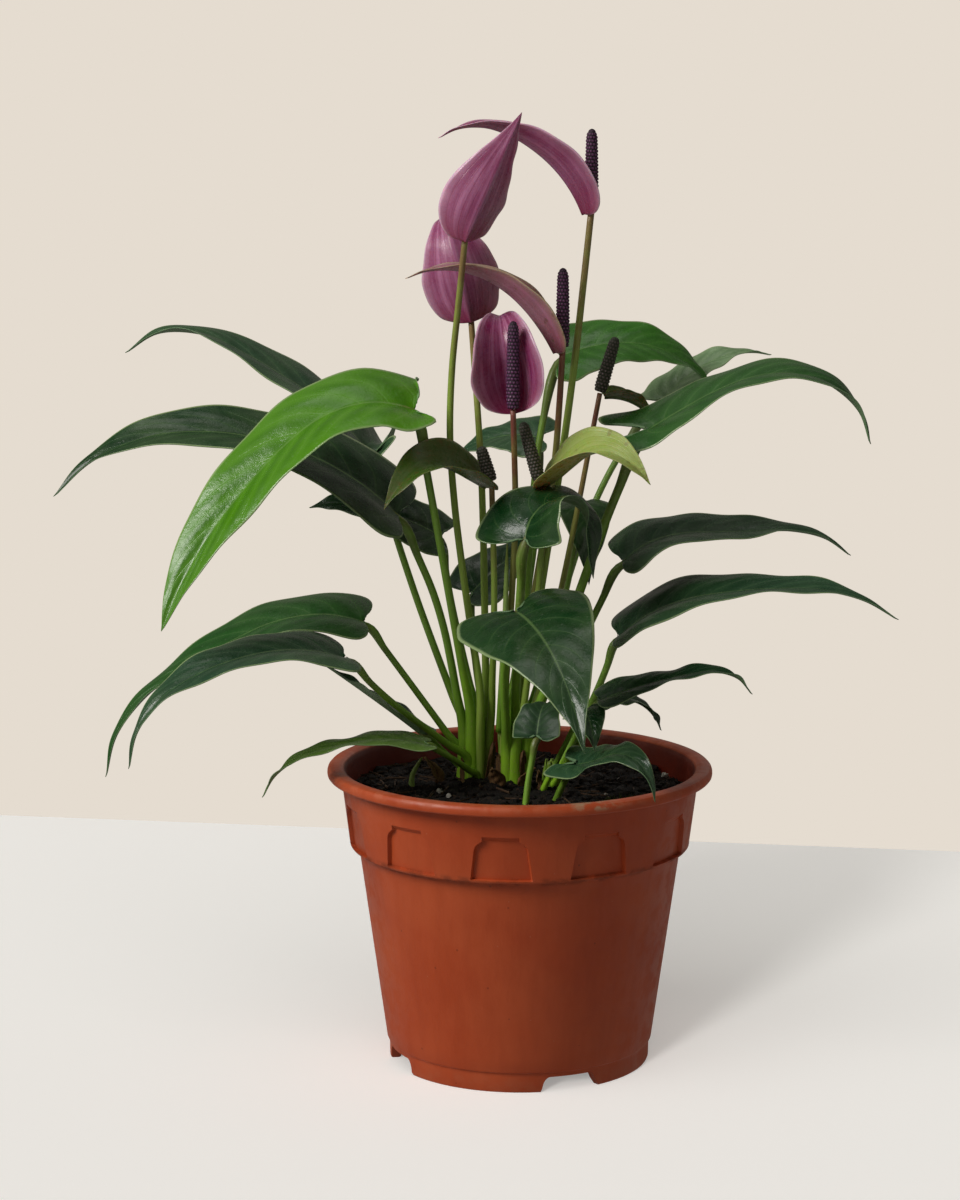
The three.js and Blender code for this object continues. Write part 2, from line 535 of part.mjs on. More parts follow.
function spathe(spec) {
  const away = new THREE.Vector3(Math.cos(radians(spec.heading)), Math.sin(radians(spec.heading)), 0);
  const start = vector(spec.top).addScaledVector(away, SPATHE_OFFSET);
  start.z -= 1;
  const blade = { ...spec, start };
  const frameAt = bladeFrames(blade);
  const rings = SPATHE_ROWS.map((row) => bladeRing(blade, frameAt, row, SPATHE_THICKNESS, SPATHE_KEEL));
  const heel = frameAt(0).point.addScaledVector(frameAt(0).ahead, -SPATHE_HEEL);
  return loft(rings, heel, frameAt(1).point);
}

function spadix(spec) {
  const profile = SPADIX_PROFILE.map(([r, z]) => [r * SPADIX_RADIUS, z * spec.spadix]);
  const body = lathe(profile, SPADIX_SIDES).rotateY(radians(spec.spadixLean));
  return body.translate(spec.top[0], spec.top[1], spec.top[2] + GAP + 0.4);
}

// ---------------------------------------------------------------- crowns, soil and small pieces

function crownBody(spec, extra) {
  const low = SOIL_Z - CROWN_ROOT;
  const r = spec.radius + extra;
  const profile = [
    [0, low - extra],
    [r * 0.7, low - extra],
    [r, SOIL_Z - 2],
    [r * 0.95, SOIL_Z + 8],
    [r * 0.8, spec.top - 6],
    [r * 0.45, spec.top],
    [0, spec.top + 1],
  ];
  return toSolid(lathe(profile, CROWN_SIDES).translate(spec.at[0], spec.at[1], 0));
}

function crown(spec) {
  const rooms = [...LEAVES, ...FLOWERS, ...SHOOTS.map(shootAsStalk)];
  let solid = crownBody(spec, 0);
  for (const stem of rooms) {
    solid = solid.subtract(stalkRoom(stem));
  }
  const pieces = solid.decompose();
  return pieces.reduce((a, b) => (a.volume() > b.volume() ? a : b));
}

// The height of the soil's low mounds over its middle level.
function soilSurface(x, y) {
  const mounds = Math.sin(x * 0.21 + 1.3) * Math.cos(y * 0.17);
  const lumps = Math.sin(x * 0.47 - y * 0.39);
  return SOIL_RELIEF * (mounds + 0.6 * lumps);
}

function soil() {
  const slope = (BODY_TOP_RADIUS - BODY_FOOT_RADIUS) / (COLLAR_FOOT_Z - FLOOR_Z);
  const foot = BODY_FOOT_RADIUS - WALL - 1;
  const top = COLLAR_FOOT_RADIUS - WALL - 1.4;
  const profile = [
    [0, FLOOR_Z + WALL + GAP],
    [foot, FLOOR_Z + WALL + GAP],
    [foot + slope * (COLLAR_FOOT_Z - 6 - FLOOR_Z), COLLAR_FOOT_Z - 6],
    [top, COLLAR_FOOT_Z + 5],
    [top + 1, SOIL_Z],
    [top * 0.78, SOIL_Z],
    [top * 0.55, SOIL_Z],
    [top * 0.3, SOIL_Z],
    [0, SOIL_Z],
  ];
  const body = mergeVertices(lathe(profile, SOIL_SIDES), 1e-4);
  const place = body.attributes.position;
  for (let k = 0; k < place.count; k += 1) {
    if (place.getZ(k) > SOIL_Z - 1) {
      place.setZ(k, SOIL_Z + soilSurface(place.getX(k), place.getY(k)));
    }
  }
  let solid = toSolid(body);
  for (const spec of CROWNS) {
    solid = solid.subtract(crownBody(spec, GAP));
  }
  for (const stem of [...LEAVES, ...SHOOTS.map(shootAsStalk)]) {
    solid = solid.subtract(stalkRoom(stem));
  }
  return solid;
}

function shootAsStalk(spec) {
  const [foot, via, base] = spec.points;
  return { foot, via, base, stalk: spec.radius, heading: 0 };
}

function shoot(spec) {
  const curve = stalkCurve(shootAsStalk(spec));
  const right = new THREE.Vector3(1, 0, 0);
  const rings = [0, 0.3, 0.6, 0.85].map((t) =>
    stalkRing(curve.getPointAt(t), curve.getTangentAt(t), right, spec.radius * (1 - 0.6 * t * t)));
  return loft(rings, vector(spec.points[0]), vector(spec.points[2]));
}

function dryScale(spec) {
  const z = SOIL_Z + SOIL_RELIEF * 1.6 + 0.8;
  const blade = {
    start: new THREE.Vector3(...spec.at, z), heading: spec.heading, pitch: [75, 65, 52, 40],
    length: spec.length, half: spec.half, fold: 25, curl: 0,
  };
  const frameAt = bladeFrames(blade);
  const rings = SPATHE_ROWS.slice(2).map((row) => bladeRing(blade, frameAt, row, 0.9, 0));
  return loft(rings, blade.start, frameAt(1).point);
}

// ---------------------------------------------------------------- assembly

const plant = new THREE.Group();

function add(name, geometry, material) {
  const mesh = new THREE.Mesh(geometry, material.clone());
  mesh.name = name;
  plant.add(mesh);
}

add('pot', toGeometry(pot()), TERRACOTTA);
add('soil', toGeometry(soil()), PEAT);
CROWNS.forEach((spec) => add(spec.name, toGeometry(crown(spec)), STEM_BROWN));
LEAVES.forEach((spec) => add(spec.name, leaf(spec), spec.colour));
FLOWERS.forEach((spec) => {
  add(`${spec.name}_stalk`, flowerStalk(spec), STALK_GREEN);
  add(`${spec.name}_spathe`, spathe(spec), spec.colour);
  add(`${spec.name}_spadix`, spadix(spec), SPADIX_DARK);
});
SHOOTS.forEach((spec) => add(spec.name, shoot(spec), STALK_GREEN));
SCALES.forEach((spec) => add(spec.name, dryScale(spec), DRY_SCALE));

// The origin is on the ground under the middle of the whole plant, leaves included.
const middle = new THREE.Box3().setFromObject(plant).getCenter(new THREE.Vector3());
plant.position.set(-middle.x, -middle.y, 0);

export default plant;
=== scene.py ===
"""Potted anthurium: the fine leaves, flowers, crowns, soil and pot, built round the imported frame.

Metres, +Z up, +X to the right and +Y to the back. Each grown piece takes its course and its outline from
the rings of the CAD node that it stands for, so it lies where that node lies.
"""

import math
import random

import bmesh
import bpy
import numpy as np
from mathutils import Matrix, Vector, noise


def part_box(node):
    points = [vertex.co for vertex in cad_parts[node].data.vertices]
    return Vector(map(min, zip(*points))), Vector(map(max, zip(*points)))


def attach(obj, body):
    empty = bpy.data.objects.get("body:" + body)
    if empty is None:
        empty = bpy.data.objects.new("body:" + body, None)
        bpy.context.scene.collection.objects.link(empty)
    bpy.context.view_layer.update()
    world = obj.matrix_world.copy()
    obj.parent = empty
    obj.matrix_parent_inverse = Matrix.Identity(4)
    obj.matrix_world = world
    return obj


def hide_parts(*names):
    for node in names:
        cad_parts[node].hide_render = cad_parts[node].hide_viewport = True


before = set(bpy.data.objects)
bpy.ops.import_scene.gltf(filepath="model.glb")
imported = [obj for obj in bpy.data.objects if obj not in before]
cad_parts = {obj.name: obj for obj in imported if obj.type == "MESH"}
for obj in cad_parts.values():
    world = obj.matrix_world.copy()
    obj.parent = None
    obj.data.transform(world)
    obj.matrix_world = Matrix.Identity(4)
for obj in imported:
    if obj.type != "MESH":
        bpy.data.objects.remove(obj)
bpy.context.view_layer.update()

bl_info = {
    "name": "Potted anthurium",
    "version": (1, 0, 0),
    "blender": (4, 5, 0),
    "location": "View3D > Sidebar > Anthurium",
    "description": "Builds a flowering anthurium in its nursery pot round the CAD frame",
    "category": "Add Mesh",
}

MM = 0.001

# ---------------------------------------------------------------- measures taken from the frame

POT_LOW, POT_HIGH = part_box("pot")
AXIS = Vector(((POT_LOW.x + POT_HIGH.x) / 2, (POT_LOW.y + POT_HIGH.y) / 2, 0))
POT_HEIGHT = POT_HIGH.z
RIM_RADIUS = (POT_HIGH.x - POT_LOW.x) / 2
SOIL_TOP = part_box("soil")[1].z - 1.5 * MM

LEAVES = sorted(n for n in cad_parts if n.startswith("leaf_"))
FLOWERS = sorted({n.rsplit("_", 1)[0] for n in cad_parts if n.startswith("flower_")})
CROWNS = sorted(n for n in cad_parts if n.startswith("crown_"))
SCALES = sorted(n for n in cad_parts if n.startswith("dry_scale_"))
SHOOTS = ("young_shoot", "soil_sprout")

PETIOLE_RINGS = 7               # rings of a leaf node that belong to its stalk; the others are its blade
MERGE = 2e-6
BLADE_COLUMNS, BLADE_ROWS = 26, 84      # faces across and along a leaf's blade
SPATHE_COLUMNS, SPATHE_ROWS = 24, 60    # and a spathe
SCALE_COLUMNS, SCALE_ROWS = 14, 30      # and a dry scale leaf
SPADIX_RADIUS = 2.35 * MM
SHEATH_ROOT = 0.003                     # how far the sheaths reach into the soil
WINDOW_SIDE = 1.05                      # where a window's side wall ends, in half widths of the window
CREASE_ANGLE = math.radians(28)         # the pot's edges sharper than this stay sharp
SOIL_RADIUS = 64 * MM                   # how far from the axis loose bits are strewn
MOSS_PATCH = (42 * MM, -34 * MM)        # from the axis

# The area lights: bearing and height over the ground in degrees, distance and size in metres.
AREA_LIGHTS = {"key": (-150, 36, 2.0, 0.9), "fill": (-40, 20, 1.9, 1.2),
               "top": (120, 72, 1.6, 1.0), "back": (70, 24, 1.9, 1.2)}
FLOOR_SUNS = {"floor_sun": (20, 11), "floor_haze": (40, 80)}    # height over the ground and breadth, degrees
SUN_BEARING = -114.4
AREA_TINT = (1.0, 0.975, 0.94)
SUN_TINT = (1.0, 0.995, 0.985)
AIM_HEIGHT = 0.16                       # the height on the axis that the area lights shine at
CAMERA_PLACE = (-15.48, -1200, 385.12)  # millimetres from the foot of the axis
SENSOR_WIDTH = 36
NEAREST_SEEN = 0.05

# Which finish each leaf, spathe and flower stalk has; the others are dark green, pink and green.
LEAF_KINDS = {
    # The leaves of the slate kind have a greyed green, a painted sheen of the light on their upper faces.
    "leaf_left_1": "slate",
    "leaf_left_6": "slate",
    "leaf_right_4": "slate",
    "leaf_right_5": "slate",
    "leaf_right_8": "slate",
    "leaf_front_2": "shade",
    "leaf_left_2": "bright",
    "leaf_right_1": "fresh",
    "leaf_left_7": "grey",
    "leaf_left_8": "olive",
    "leaf_back_1": "grey",
    "leaf_back_2": "grey",
    "leaf_right_2": "pale",
    "leaf_right_3": "mid",
    "leaf_right_6": "grey",
    "leaf_left_5": "mid",
}
SPATHE_KINDS = {"flower_4": "dusky", "flower_6": "lime", "flower_7": "olive", "flower_8": "olive"}
STALK_KINDS = {"flower_4": "red", "flower_5": "red", "flower_6": "olive", "flower_8": "red"}
PINKISH = ("pink", "dusky")     # the kinds of spathe that are some pink; the others have aged to green


def colour(code):
    """A six-digit display colour as linear red, green and blue."""
    shares = [int(code[k:k + 2], 16) / 255 for k in (0, 2, 4)]
    return tuple(s / 12.92 if s <= 0.04045 else ((s + 0.055) / 1.055) ** 2.4 for s in shares)


LEAF_DUST = colour("b9bfae")
STALK_SPOT = colour("a89a6c")
RIM_WEAR = colour("c98f72")
AGED_LIGHT = (0.8, 0.8, 0.5)            # linear colours that an aged spathe fades to, over it and at its margin
AGED_MARGIN = (0.6, 0.62, 0.3)
STREAK_SHARE = {"lime": 0.2, "olive": 0.05}
MARGIN_SHARE = {"dusky": 0.5, "lime": 0.5, "olive": 0.15}


def seeded(name):
    """A random source of the piece's own, the same on each run."""
    return random.Random(name)


# ---------------------------------------------------------------- curves and grids

def hermite(knots, points, where):
    """A smooth curve through points, at the knots, evaluated at where. Points may have several columns."""
    knots, points, where = (np.asarray(x, float) for x in (knots, points, where))
    spans = np.diff(knots)
    slopes = np.diff(points, axis=0) / spans.reshape(-1, *[1] * (points.ndim - 1))
    tangents = np.concatenate([slopes[:1], slopes])
    before, after = spans[:-1], spans[1:]
    share = (before / (before + after)).reshape(-1, *[1] * (points.ndim - 1))
    tangents[1:-1] = slopes[:-1] * (1 - share) + slopes[1:] * share
    k = np.clip(np.searchsorted(knots, where, side="right") - 1, 0, len(spans) - 1)
    shape = (-1, *[1] * (points.ndim - 1))
    h = spans[k].reshape(shape)
    t = ((where - knots[k]) / spans[k]).reshape(shape)
    return ((2 * t**3 - 3 * t**2 + 1) * points[k] + (t**3 - 2 * t**2 + t) * h * tangents[k]
            + (3 * t**2 - 2 * t**3) * points[k + 1] + (t**3 - t**2) * h * tangents[k + 1])


def smoothstep(low, high, x):
    t = np.clip((x - low) / (high - low), 0, 1)
    return t * t * (3 - 2 * t)


def deselect():
    if bpy.context.object and bpy.context.object.mode != "OBJECT":
        bpy.ops.object.mode_set(mode="OBJECT")
    bpy.ops.object.select_all(action="DESELECT")


def activate(piece):
    deselect()
    piece.select_set(True)
    bpy.context.view_layer.objects.active = piece


def tidy_mesh(piece, outward):
    """Merges doubles, so that seams and poles close, and turns a closed shape's faces outwards."""
    activate(piece)
    bpy.ops.object.mode_set(mode="EDIT")
    bpy.ops.mesh.select_all(action="SELECT")
    bpy.ops.mesh.remove_doubles(threshold=MERGE)
    bpy.ops.mesh.dissolve_degenerate(threshold=MERGE)
    if outward:
        bpy.ops.mesh.normals_make_consistent(inside=False)
    bpy.ops.object.mode_set(mode="OBJECT")


def woven(name, table, closed=True):
    """A grid primitive with its vertices put where the table of rows and columns of points says."""
    rows, columns = table.shape[0] - 1, table.shape[1] - 1
    deselect()
    bpy.ops.mesh.primitive_grid_add(x_subdivisions=columns, y_subdivisions=rows, size=1, calc_uvs=True)
    piece = bpy.context.object
    piece.name = piece.data.name = name
    flat = np.empty(len(piece.data.vertices) * 3)
    piece.data.vertices.foreach_get("co", flat)
    flat = flat.reshape(-1, 3)
    across = np.rint((flat[:, 0] + 0.5) * columns).astype(int)
    along = np.rint((flat[:, 1] + 0.5) * rows).astype(int)
    piece.data.vertices.foreach_set("co", table[along, across].ravel())
    piece.data.update()
    tidy_mesh(piece, closed)
    bpy.ops.object.shade_smooth()
    return piece


def joined(name, parts):
    """The parts as one piece, with its name."""
    activate(parts[0])
    for part in parts:
        part.select_set(True)
    bpy.ops.object.join()
    parts[0].name = parts[0].data.name = name
    return parts[0]


def finished(piece, slot, *nodes):
    """Puts a piece on the body and hides the CAD nodes that it stands for; its slot is not used."""
    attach(piece, "root")
    if nodes:
        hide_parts(*nodes)
    return piece


def applied(piece, kind, **settings):
    """Adds a modifier with these settings and applies it."""
    activate(piece)
    modifier = piece.modifiers.new(kind.title(), kind)
    for key, value in settings.items():
        setattr(modifier, key, value)
    bpy.ops.object.modifier_apply(modifier=modifier.name)


def table_normals(table):
    """The normals of a smooth table of points, towards the side that its faces look to."""
    across = np.gradient(table, axis=1)
    along = np.gradient(table, axis=0)
    normals = np.cross(across, along)
    return normals / (np.linalg.norm(normals, axis=2, keepdims=True) + 1e-12)


def tube_table(centres, radii, sides, squash=1.0):
    """Rings of points round a line, from one end to the other, each end drawn in to a point."""
    ahead = np.gradient(centres, axis=0)
    ahead /= np.linalg.norm(ahead, axis=1, keepdims=True)
    side = np.cross(ahead, (0.0, 1.0, 0.0))
    side /= np.linalg.norm(side, axis=1, keepdims=True)
    up = np.cross(side, ahead)
    turn = np.linspace(0, 2 * math.pi, sides + 1)
    ring = (np.cos(turn)[None, :, None] * side[:, None] + squash * np.sin(turn)[None, :, None] * up[:, None])
    table = centres[:, None] + radii[:, None, None] * ring
    cap = np.repeat(centres[:, None], sides + 1, axis=1)
    return np.concatenate([cap[:1], table, cap[-1:]])


# ---------------------------------------------------------------- the rings of a CAD node

def merged_graph(node):
    """The corners of a CAD node and each one's neighbours, from a copy of its mesh with doubles merged."""
    copy = bmesh.new()
    copy.from_mesh(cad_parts[node].data)
    bmesh.ops.remove_doubles(copy, verts=copy.verts, dist=MERGE)
    copy.verts.index_update()
    points = np.array([v.co[:] for v in copy.verts])
    near = [{e.other_vert(v).index for e in v.link_edges} for v in copy.verts]
    copy.free()
    return points, near


def layers_from(start, near):
    """The corners of a graph in layers, by how many edges away from the start they are."""
    layers, seen = [{start}], {start}
    while layers[-1]:
        edge = set().union(*(near[v] for v in layers[-1])) - seen
        layers.append(edge)
        seen |= edge
    return layers[:-1]


def node_rings(node, root):
    """The rings of eight points of a lofted node, from the end nearer to root, as an array, and its ends.

    A ring runs from the left margin over the upper face to the right margin and back below."""
    points, near = merged_graph(node)
    found = []
    for start in range(len(points)):
        if len(near[start]) == 8:
            layers = layers_from(start, near)
            if all(len(layer) == 8 for layer in layers[1:-1]) and len(layers[-1]) == 1:
                found.append(layers)
    if not found:
        raise RuntimeError(f"{node} has no rings of eight points")
    layers = min(found, key=lambda found_layers: np.linalg.norm(points[min(found_layers[0])] - root))
    rings = layers[1:-1]
    ahead = [[sorted(near[v] & rings[k + 1]) for v in sorted(rings[k])] for k in range(len(rings) - 1)]
    step = [dict(zip(sorted(ring), links)) for ring, links in zip(rings, ahead)]
    margins = [[v for v, links in s.items() if len(links) == 3] for s in step]
    middles = [v for v, links in step[0].items() if len(links) == 1]
    last = rings[-1]
    margins.append([v for v in sorted(last) if len(near[v] & rings[-2]) == 1])

    def follow(start):
        line = [start]
        for links in step:
            line.append(links[line[-1]][0])
        return line

    def sag(line, k):
        beside = [points[v] for v in near[line[k]] & rings[k]]
        return np.linalg.norm(points[line[k]] - sum(beside) / 2)

    check = len(rings) - 4
    top = min((follow(m) for m in middles), key=lambda line: sag(line, check))
    left, ordered = margins[0][0], []
    for k, ring in enumerate(rings):
        if k:
            left = next(v for v in step[k - 1][left] if v in margins[k])
        second = next(v for v in near[left] & near[top[k]] & ring)
        order = [left, second]
        while len(order) < 8:
            order.append(next(v for v in near[order[-1]] & ring if v not in order))
        ordered.append(order)
    return points[np.array(ordered)], points[min(layers[0])], points[min(layers[-1])]


# ---------------------------------------------------------------- blades: leaves and spathes

def middle_rows(rings, tip):
    """The middle surface of a blade's rings as rows of five points, from the base to the tip."""
    upper, lower = rings[:, [0, 1, 2, 3, 4]], rings[:, [0, 7, 6, 5, 4]]
    half = (upper[:, [1, 3]] - lower[:, [1, 3]]) / 2
    rows = upper.copy()
    rows[:, 1] -= half[:, 0]
    rows[:, 3] -= half[:, 1]
    rows[:, 2] -= (half[:, 0] + half[:, 1]) / 2
    return np.concatenate([rows, np.repeat(tip[None, None], 5, axis=1)])


def blade_table(rows, across, along):
    """A fine smooth table of points through the rows."""
    steps = np.linalg.norm(np.diff(rows, axis=0), axis=2).mean(axis=1)
    knots = np.concatenate([[0], np.cumsum(steps)])
    places = np.linspace(0, 1, along + 1) * knots[-1]
    columns = hermite(knots, rows, places)
    sides = np.linspace(-1, 1, across + 1)
    return hermite([-1, -0.5, 0, 0.5, 1], columns.transpose(1, 0, 2), sides).transpose(1, 0, 2)


def veined(table, seed, look, wave):
    """The table with the relief of a living blade: a sunk midrib, raised fields between the side veins and
    a gently waving margin."""
    rng = seeded(seed)
    rows, columns = table.shape[:2]
    along = np.linspace(0, 1, rows)[:, None]
    out = np.abs(np.linspace(-1, 1, columns))[None, :]
    side = np.sign(np.linspace(-1, 1, columns))[None, :]
    width = np.linalg.norm(table[:, -1] - table[:, 0], axis=1)[:, None] / 2
    phase = (along - look.vein_slant * out**1.15) * look.vein_count
    fields = (0.5 - 0.5 * np.cos(2 * math.pi * phase)) * smoothstep(0, 0.25, out) * (
        1 - smoothstep(0.7, 1, out))
    groove = np.exp(-(out * width / look.midrib_width) ** 2)
    first, second = rng.uniform(0, 6.28), rng.uniform(0, 6.28)
    ripple = np.sin(2 * math.pi * 2.3 * along + first + 1.7 * side) + 0.6 * np.sin(
        2 * math.pi * 4.9 * along + second - side)
    fade = smoothstep(0, 0.12, along) * (1 - smoothstep(0.85, 1, along))
    lift = (look.vein_relief * fields * np.clip(width / (12 * MM), 0, 1)
            - look.midrib_depth * groove * (1 - 0.7 * along) + wave * ripple * out**2.5 * fade)
    return table + table_normals(table) * lift[:, :, None]


def blade(name, table, thickness, skins):
    """A blade's sheet with its thickness: the upper skin, the underside skin and a thick midrib below."""
    sheet = woven(name, table, closed=False)
    for skin in skins:
        sheet.data.materials.append(skin)
    group = sheet.vertex_groups.new(name="thick")
    uv = sheet.data.uv_layers.active.data
    out = {}
    for loop in sheet.data.loops:
        u, v = uv[loop.index].uv
        out[loop.vertex_index] = (abs(2 * u - 1), v)
    for index, (side, place) in out.items():
        keel = math.exp(-(side / 0.07) ** 2) * max(0.0, 1 - place) ** 0.7
        group.add([index], min(1.0, 0.26 + 0.74 * keel - 0.08 * side), "REPLACE")
    applied(sheet, "SOLIDIFY", thickness=thickness, offset=-1, vertex_group="thick",
            thickness_vertex_group=0.0, material_offset=1, material_offset_rim=1)
    sheet.vertex_groups.clear()
    return sheet


def upward(rows, rings):
    """The rows, turned over from side to side if their faces would look down."""
    up = rings[:, 2].mean(axis=0) - rings[:, 6].mean(axis=0)
    looks = table_normals(rows)[1:-1, 2].sum(axis=0)
    return rows if looks @ up > 0 else rows[:, ::-1]


def stalk(name, centres, radii, skin, sides=12, steps=46):
    """A smooth stalk through the centres of a node's rings."""
    apart = np.linalg.norm(np.diff(centres, axis=0), axis=1) > 0.3 * MM
    centres, radii = centres[np.append(True, apart)], radii[np.append(True, apart)]
    knots = np.concatenate([[0], np.cumsum(np.linalg.norm(np.diff(centres, axis=0), axis=1))])
    where = np.linspace(0, knots[-1], steps)
    table = tube_table(hermite(knots, centres, where), hermite(knots, radii, where), sides)
    piece = woven(name, table)
    piece.data.materials.append(skin)
    return piece


def rooted(foot, centres, radii, flare):
    """A stalk's course with its sheathing foot, which runs on from its end down into the nearest crown."""
    if foot[2] < SOIL_TOP + 3 * MM:
        return np.concatenate([foot[None], centres]), np.concatenate([radii[:1], radii])
    middles = [np.array([(low.x + high.x) / 2, (low.y + high.y) / 2]) for low, high in map(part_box, CROWNS)]
    middle = min(middles, key=lambda m: np.hypot(*(m - foot[:2])))
    out = foot[:2] - middle
    out *= min(1.0, 4.6 * MM / (np.hypot(*out) + 1e-9))
    down = SOIL_TOP - 3 * MM
    course = [np.array([*(middle + out * pull), down + (foot[2] - down) * rise])
              for rise, pull in ((0, 1.15), (0.3, 1.05), (0.65, 0.98))]
    course[2][:2] = (course[2][:2] + foot[:2]) / 2
    thick = radii[0] * np.array([1 + flare, 1 + flare * 0.85, 1 + flare * 0.55, 1 + flare * 0.25])
    return np.concatenate([course, foot[None], centres]), np.concatenate([thick, radii])


def ring_sizes(rings):
    centres = rings.mean(axis=1)
    return centres, np.linalg.norm(rings - centres[:, None], axis=2).mean(axis=1)


def grow_leaf(node, look, skins):
    """One leaf: its blade, and its stalk from the sheathing foot to the knee under the blade."""
    rings, foot, tip = node_rings(node, AXIS_POINT)
    petiole, rows = rings[:PETIOLE_RINGS], middle_rows(rings[PETIOLE_RINGS:], tip)
    rows = upward(rows, rings[PETIOLE_RINGS:])
    table = blade_table(rows, BLADE_COLUMNS, BLADE_ROWS)
    table = veined(table, node, look, look.margin_wave)
    kind = LEAF_KINDS.get(node, "dark")
    faces = [skins[kind + "_upper"], skins[kind + "_under"]]
    sheet = blade(node + "_blade", table, look.leaf_thickness, faces)
    centres, radii = ring_sizes(petiole)
    base, ahead, beyond = table[[0, 6, 12], BLADE_COLUMNS // 2]
    down = -table_normals(table)[3, BLADE_COLUMNS // 2]
    radii = radii * 0.92
    top = radii[-1]
    radii[-1] *= 1.2
    centres, radii = rooted(foot, centres, radii, look.foot_swell)
    under = [base + down * 1.0 * MM, ahead + down * 0.9 * MM, beyond + down * 0.6 * MM]
    centres = np.concatenate([centres, under])
    radii = np.concatenate([radii, [top * 0.92, top * 0.6, top * 0.2]])
    stem = stalk(node + "_petiole", centres, radii, skins[kind + "_petiole"])
    return joined(node + "_grown", [sheet, stem])


AXIS_POINT = np.array([AXIS.x, AXIS.y, SOIL_TOP])


# ---------------------------------------------------------------- flowers

def grow_spathe(node, flower, look, skins):
    """One spathe: a thin waxy blade that starts from the top of its stalk."""
    top = node_rings(flower + "_stalk", AXIS_POINT)[2]
    rings, heel, tip = node_rings(node, top)
    rows = upward(middle_rows(rings, tip), rings)
    rows = np.concatenate([np.repeat(heel[None, None], 5, axis=1), rows])
    table = blade_table(rows, SPATHE_COLUMNS, SPATHE_ROWS)
    table = veined(table, node, look, look.margin_wave)
    kind = SPATHE_KINDS.get(flower, "pink")
    faces = [skins[kind + "_inner"], skins[kind + "_outer"]]
    return blade(node + "_grown", table, look.spathe_thickness, faces)


def grow_flower_stalk(node, look, skins, kind):
    rings, foot, top = node_rings(node, AXIS_POINT)
    centres, radii = ring_sizes(rings)
    centres, radii = rooted(foot, centres, radii, look.foot_swell)
    centres = np.concatenate([centres, top[None]])
    radii = np.concatenate([radii, radii[-1:] * 1.25])
    return stalk(node + "_grown", centres, radii, skins[kind + "_stalk"])


def grow_spadix(node, look, skin):
    """One spadix: a tapering spike set all round with rows of small florets."""
    points = np.array([v.co[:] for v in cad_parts[node].data.vertices])
    low = points[points[:, 2] < points[:, 2].min() + 1.5 * MM].mean(axis=0)
    high = points[points[:, 2].argmax()]
    length = np.linalg.norm(high - low)
    wide = SPADIX_RADIUS
    around, rings = look.floret_columns, round(length / look.floret_pitch)
    sides, steps = around * 6, rings * 5
    v = np.linspace(0, 1, steps + 1)
    turn = np.linspace(0, 1, sides + 1)
    profile = wide * np.clip(1 - np.clip((v - 0.86) / 0.14, 0, 1) ** 2.2, 0, 1) ** 0.5
    profile *= (0.84 + 0.16 * smoothstep(0, 0.12, v)) * (1 - 0.22 * v**2)
    row = v[:, None] * rings
    column = turn[None, :] * around + 0.5 * (np.floor(row) % 2)
    bump = (np.abs(np.sin(math.pi * column)) * np.abs(np.sin(math.pi * row))) ** 0.6
    radius = profile[:, None] + look.floret_relief * bump * np.clip(profile[:, None] / wide, 0, 1)
    axis = (high - low) / length
    side = np.cross(axis, (0.0, 1.0, 0.0))
    side /= np.linalg.norm(side)
    up = np.cross(side, axis)
    ring = np.cos(2 * math.pi * turn)[:, None] * side + np.sin(2 * math.pi * turn)[:, None] * up
    table = low + v[:, None, None] * (high - low) + radius[:, :, None] * ring[None]
    base = np.repeat(low[None, None], sides + 1, axis=1)
    piece = woven(node + "_grown", np.concatenate([base, table]))
    piece.data.materials.append(skin)
    away = piece.data.attributes.new("floret", "FLOAT", "POINT")
    flat = np.empty(len(piece.data.vertices) * 3)
    piece.data.vertices.foreach_get("co", flat)
    flat = flat.reshape(-1, 3) - low
    place = flat @ axis / length
    apart = np.linalg.norm(flat - (flat @ axis)[:, None] * axis, axis=1)
    level = (apart - np.interp(place, v, profile)) / look.floret_relief
    away.data.foreach_set("value", np.clip(level, 0, 1))
    return piece


# ---------------------------------------------------------------- soft parts at the foot of the plant

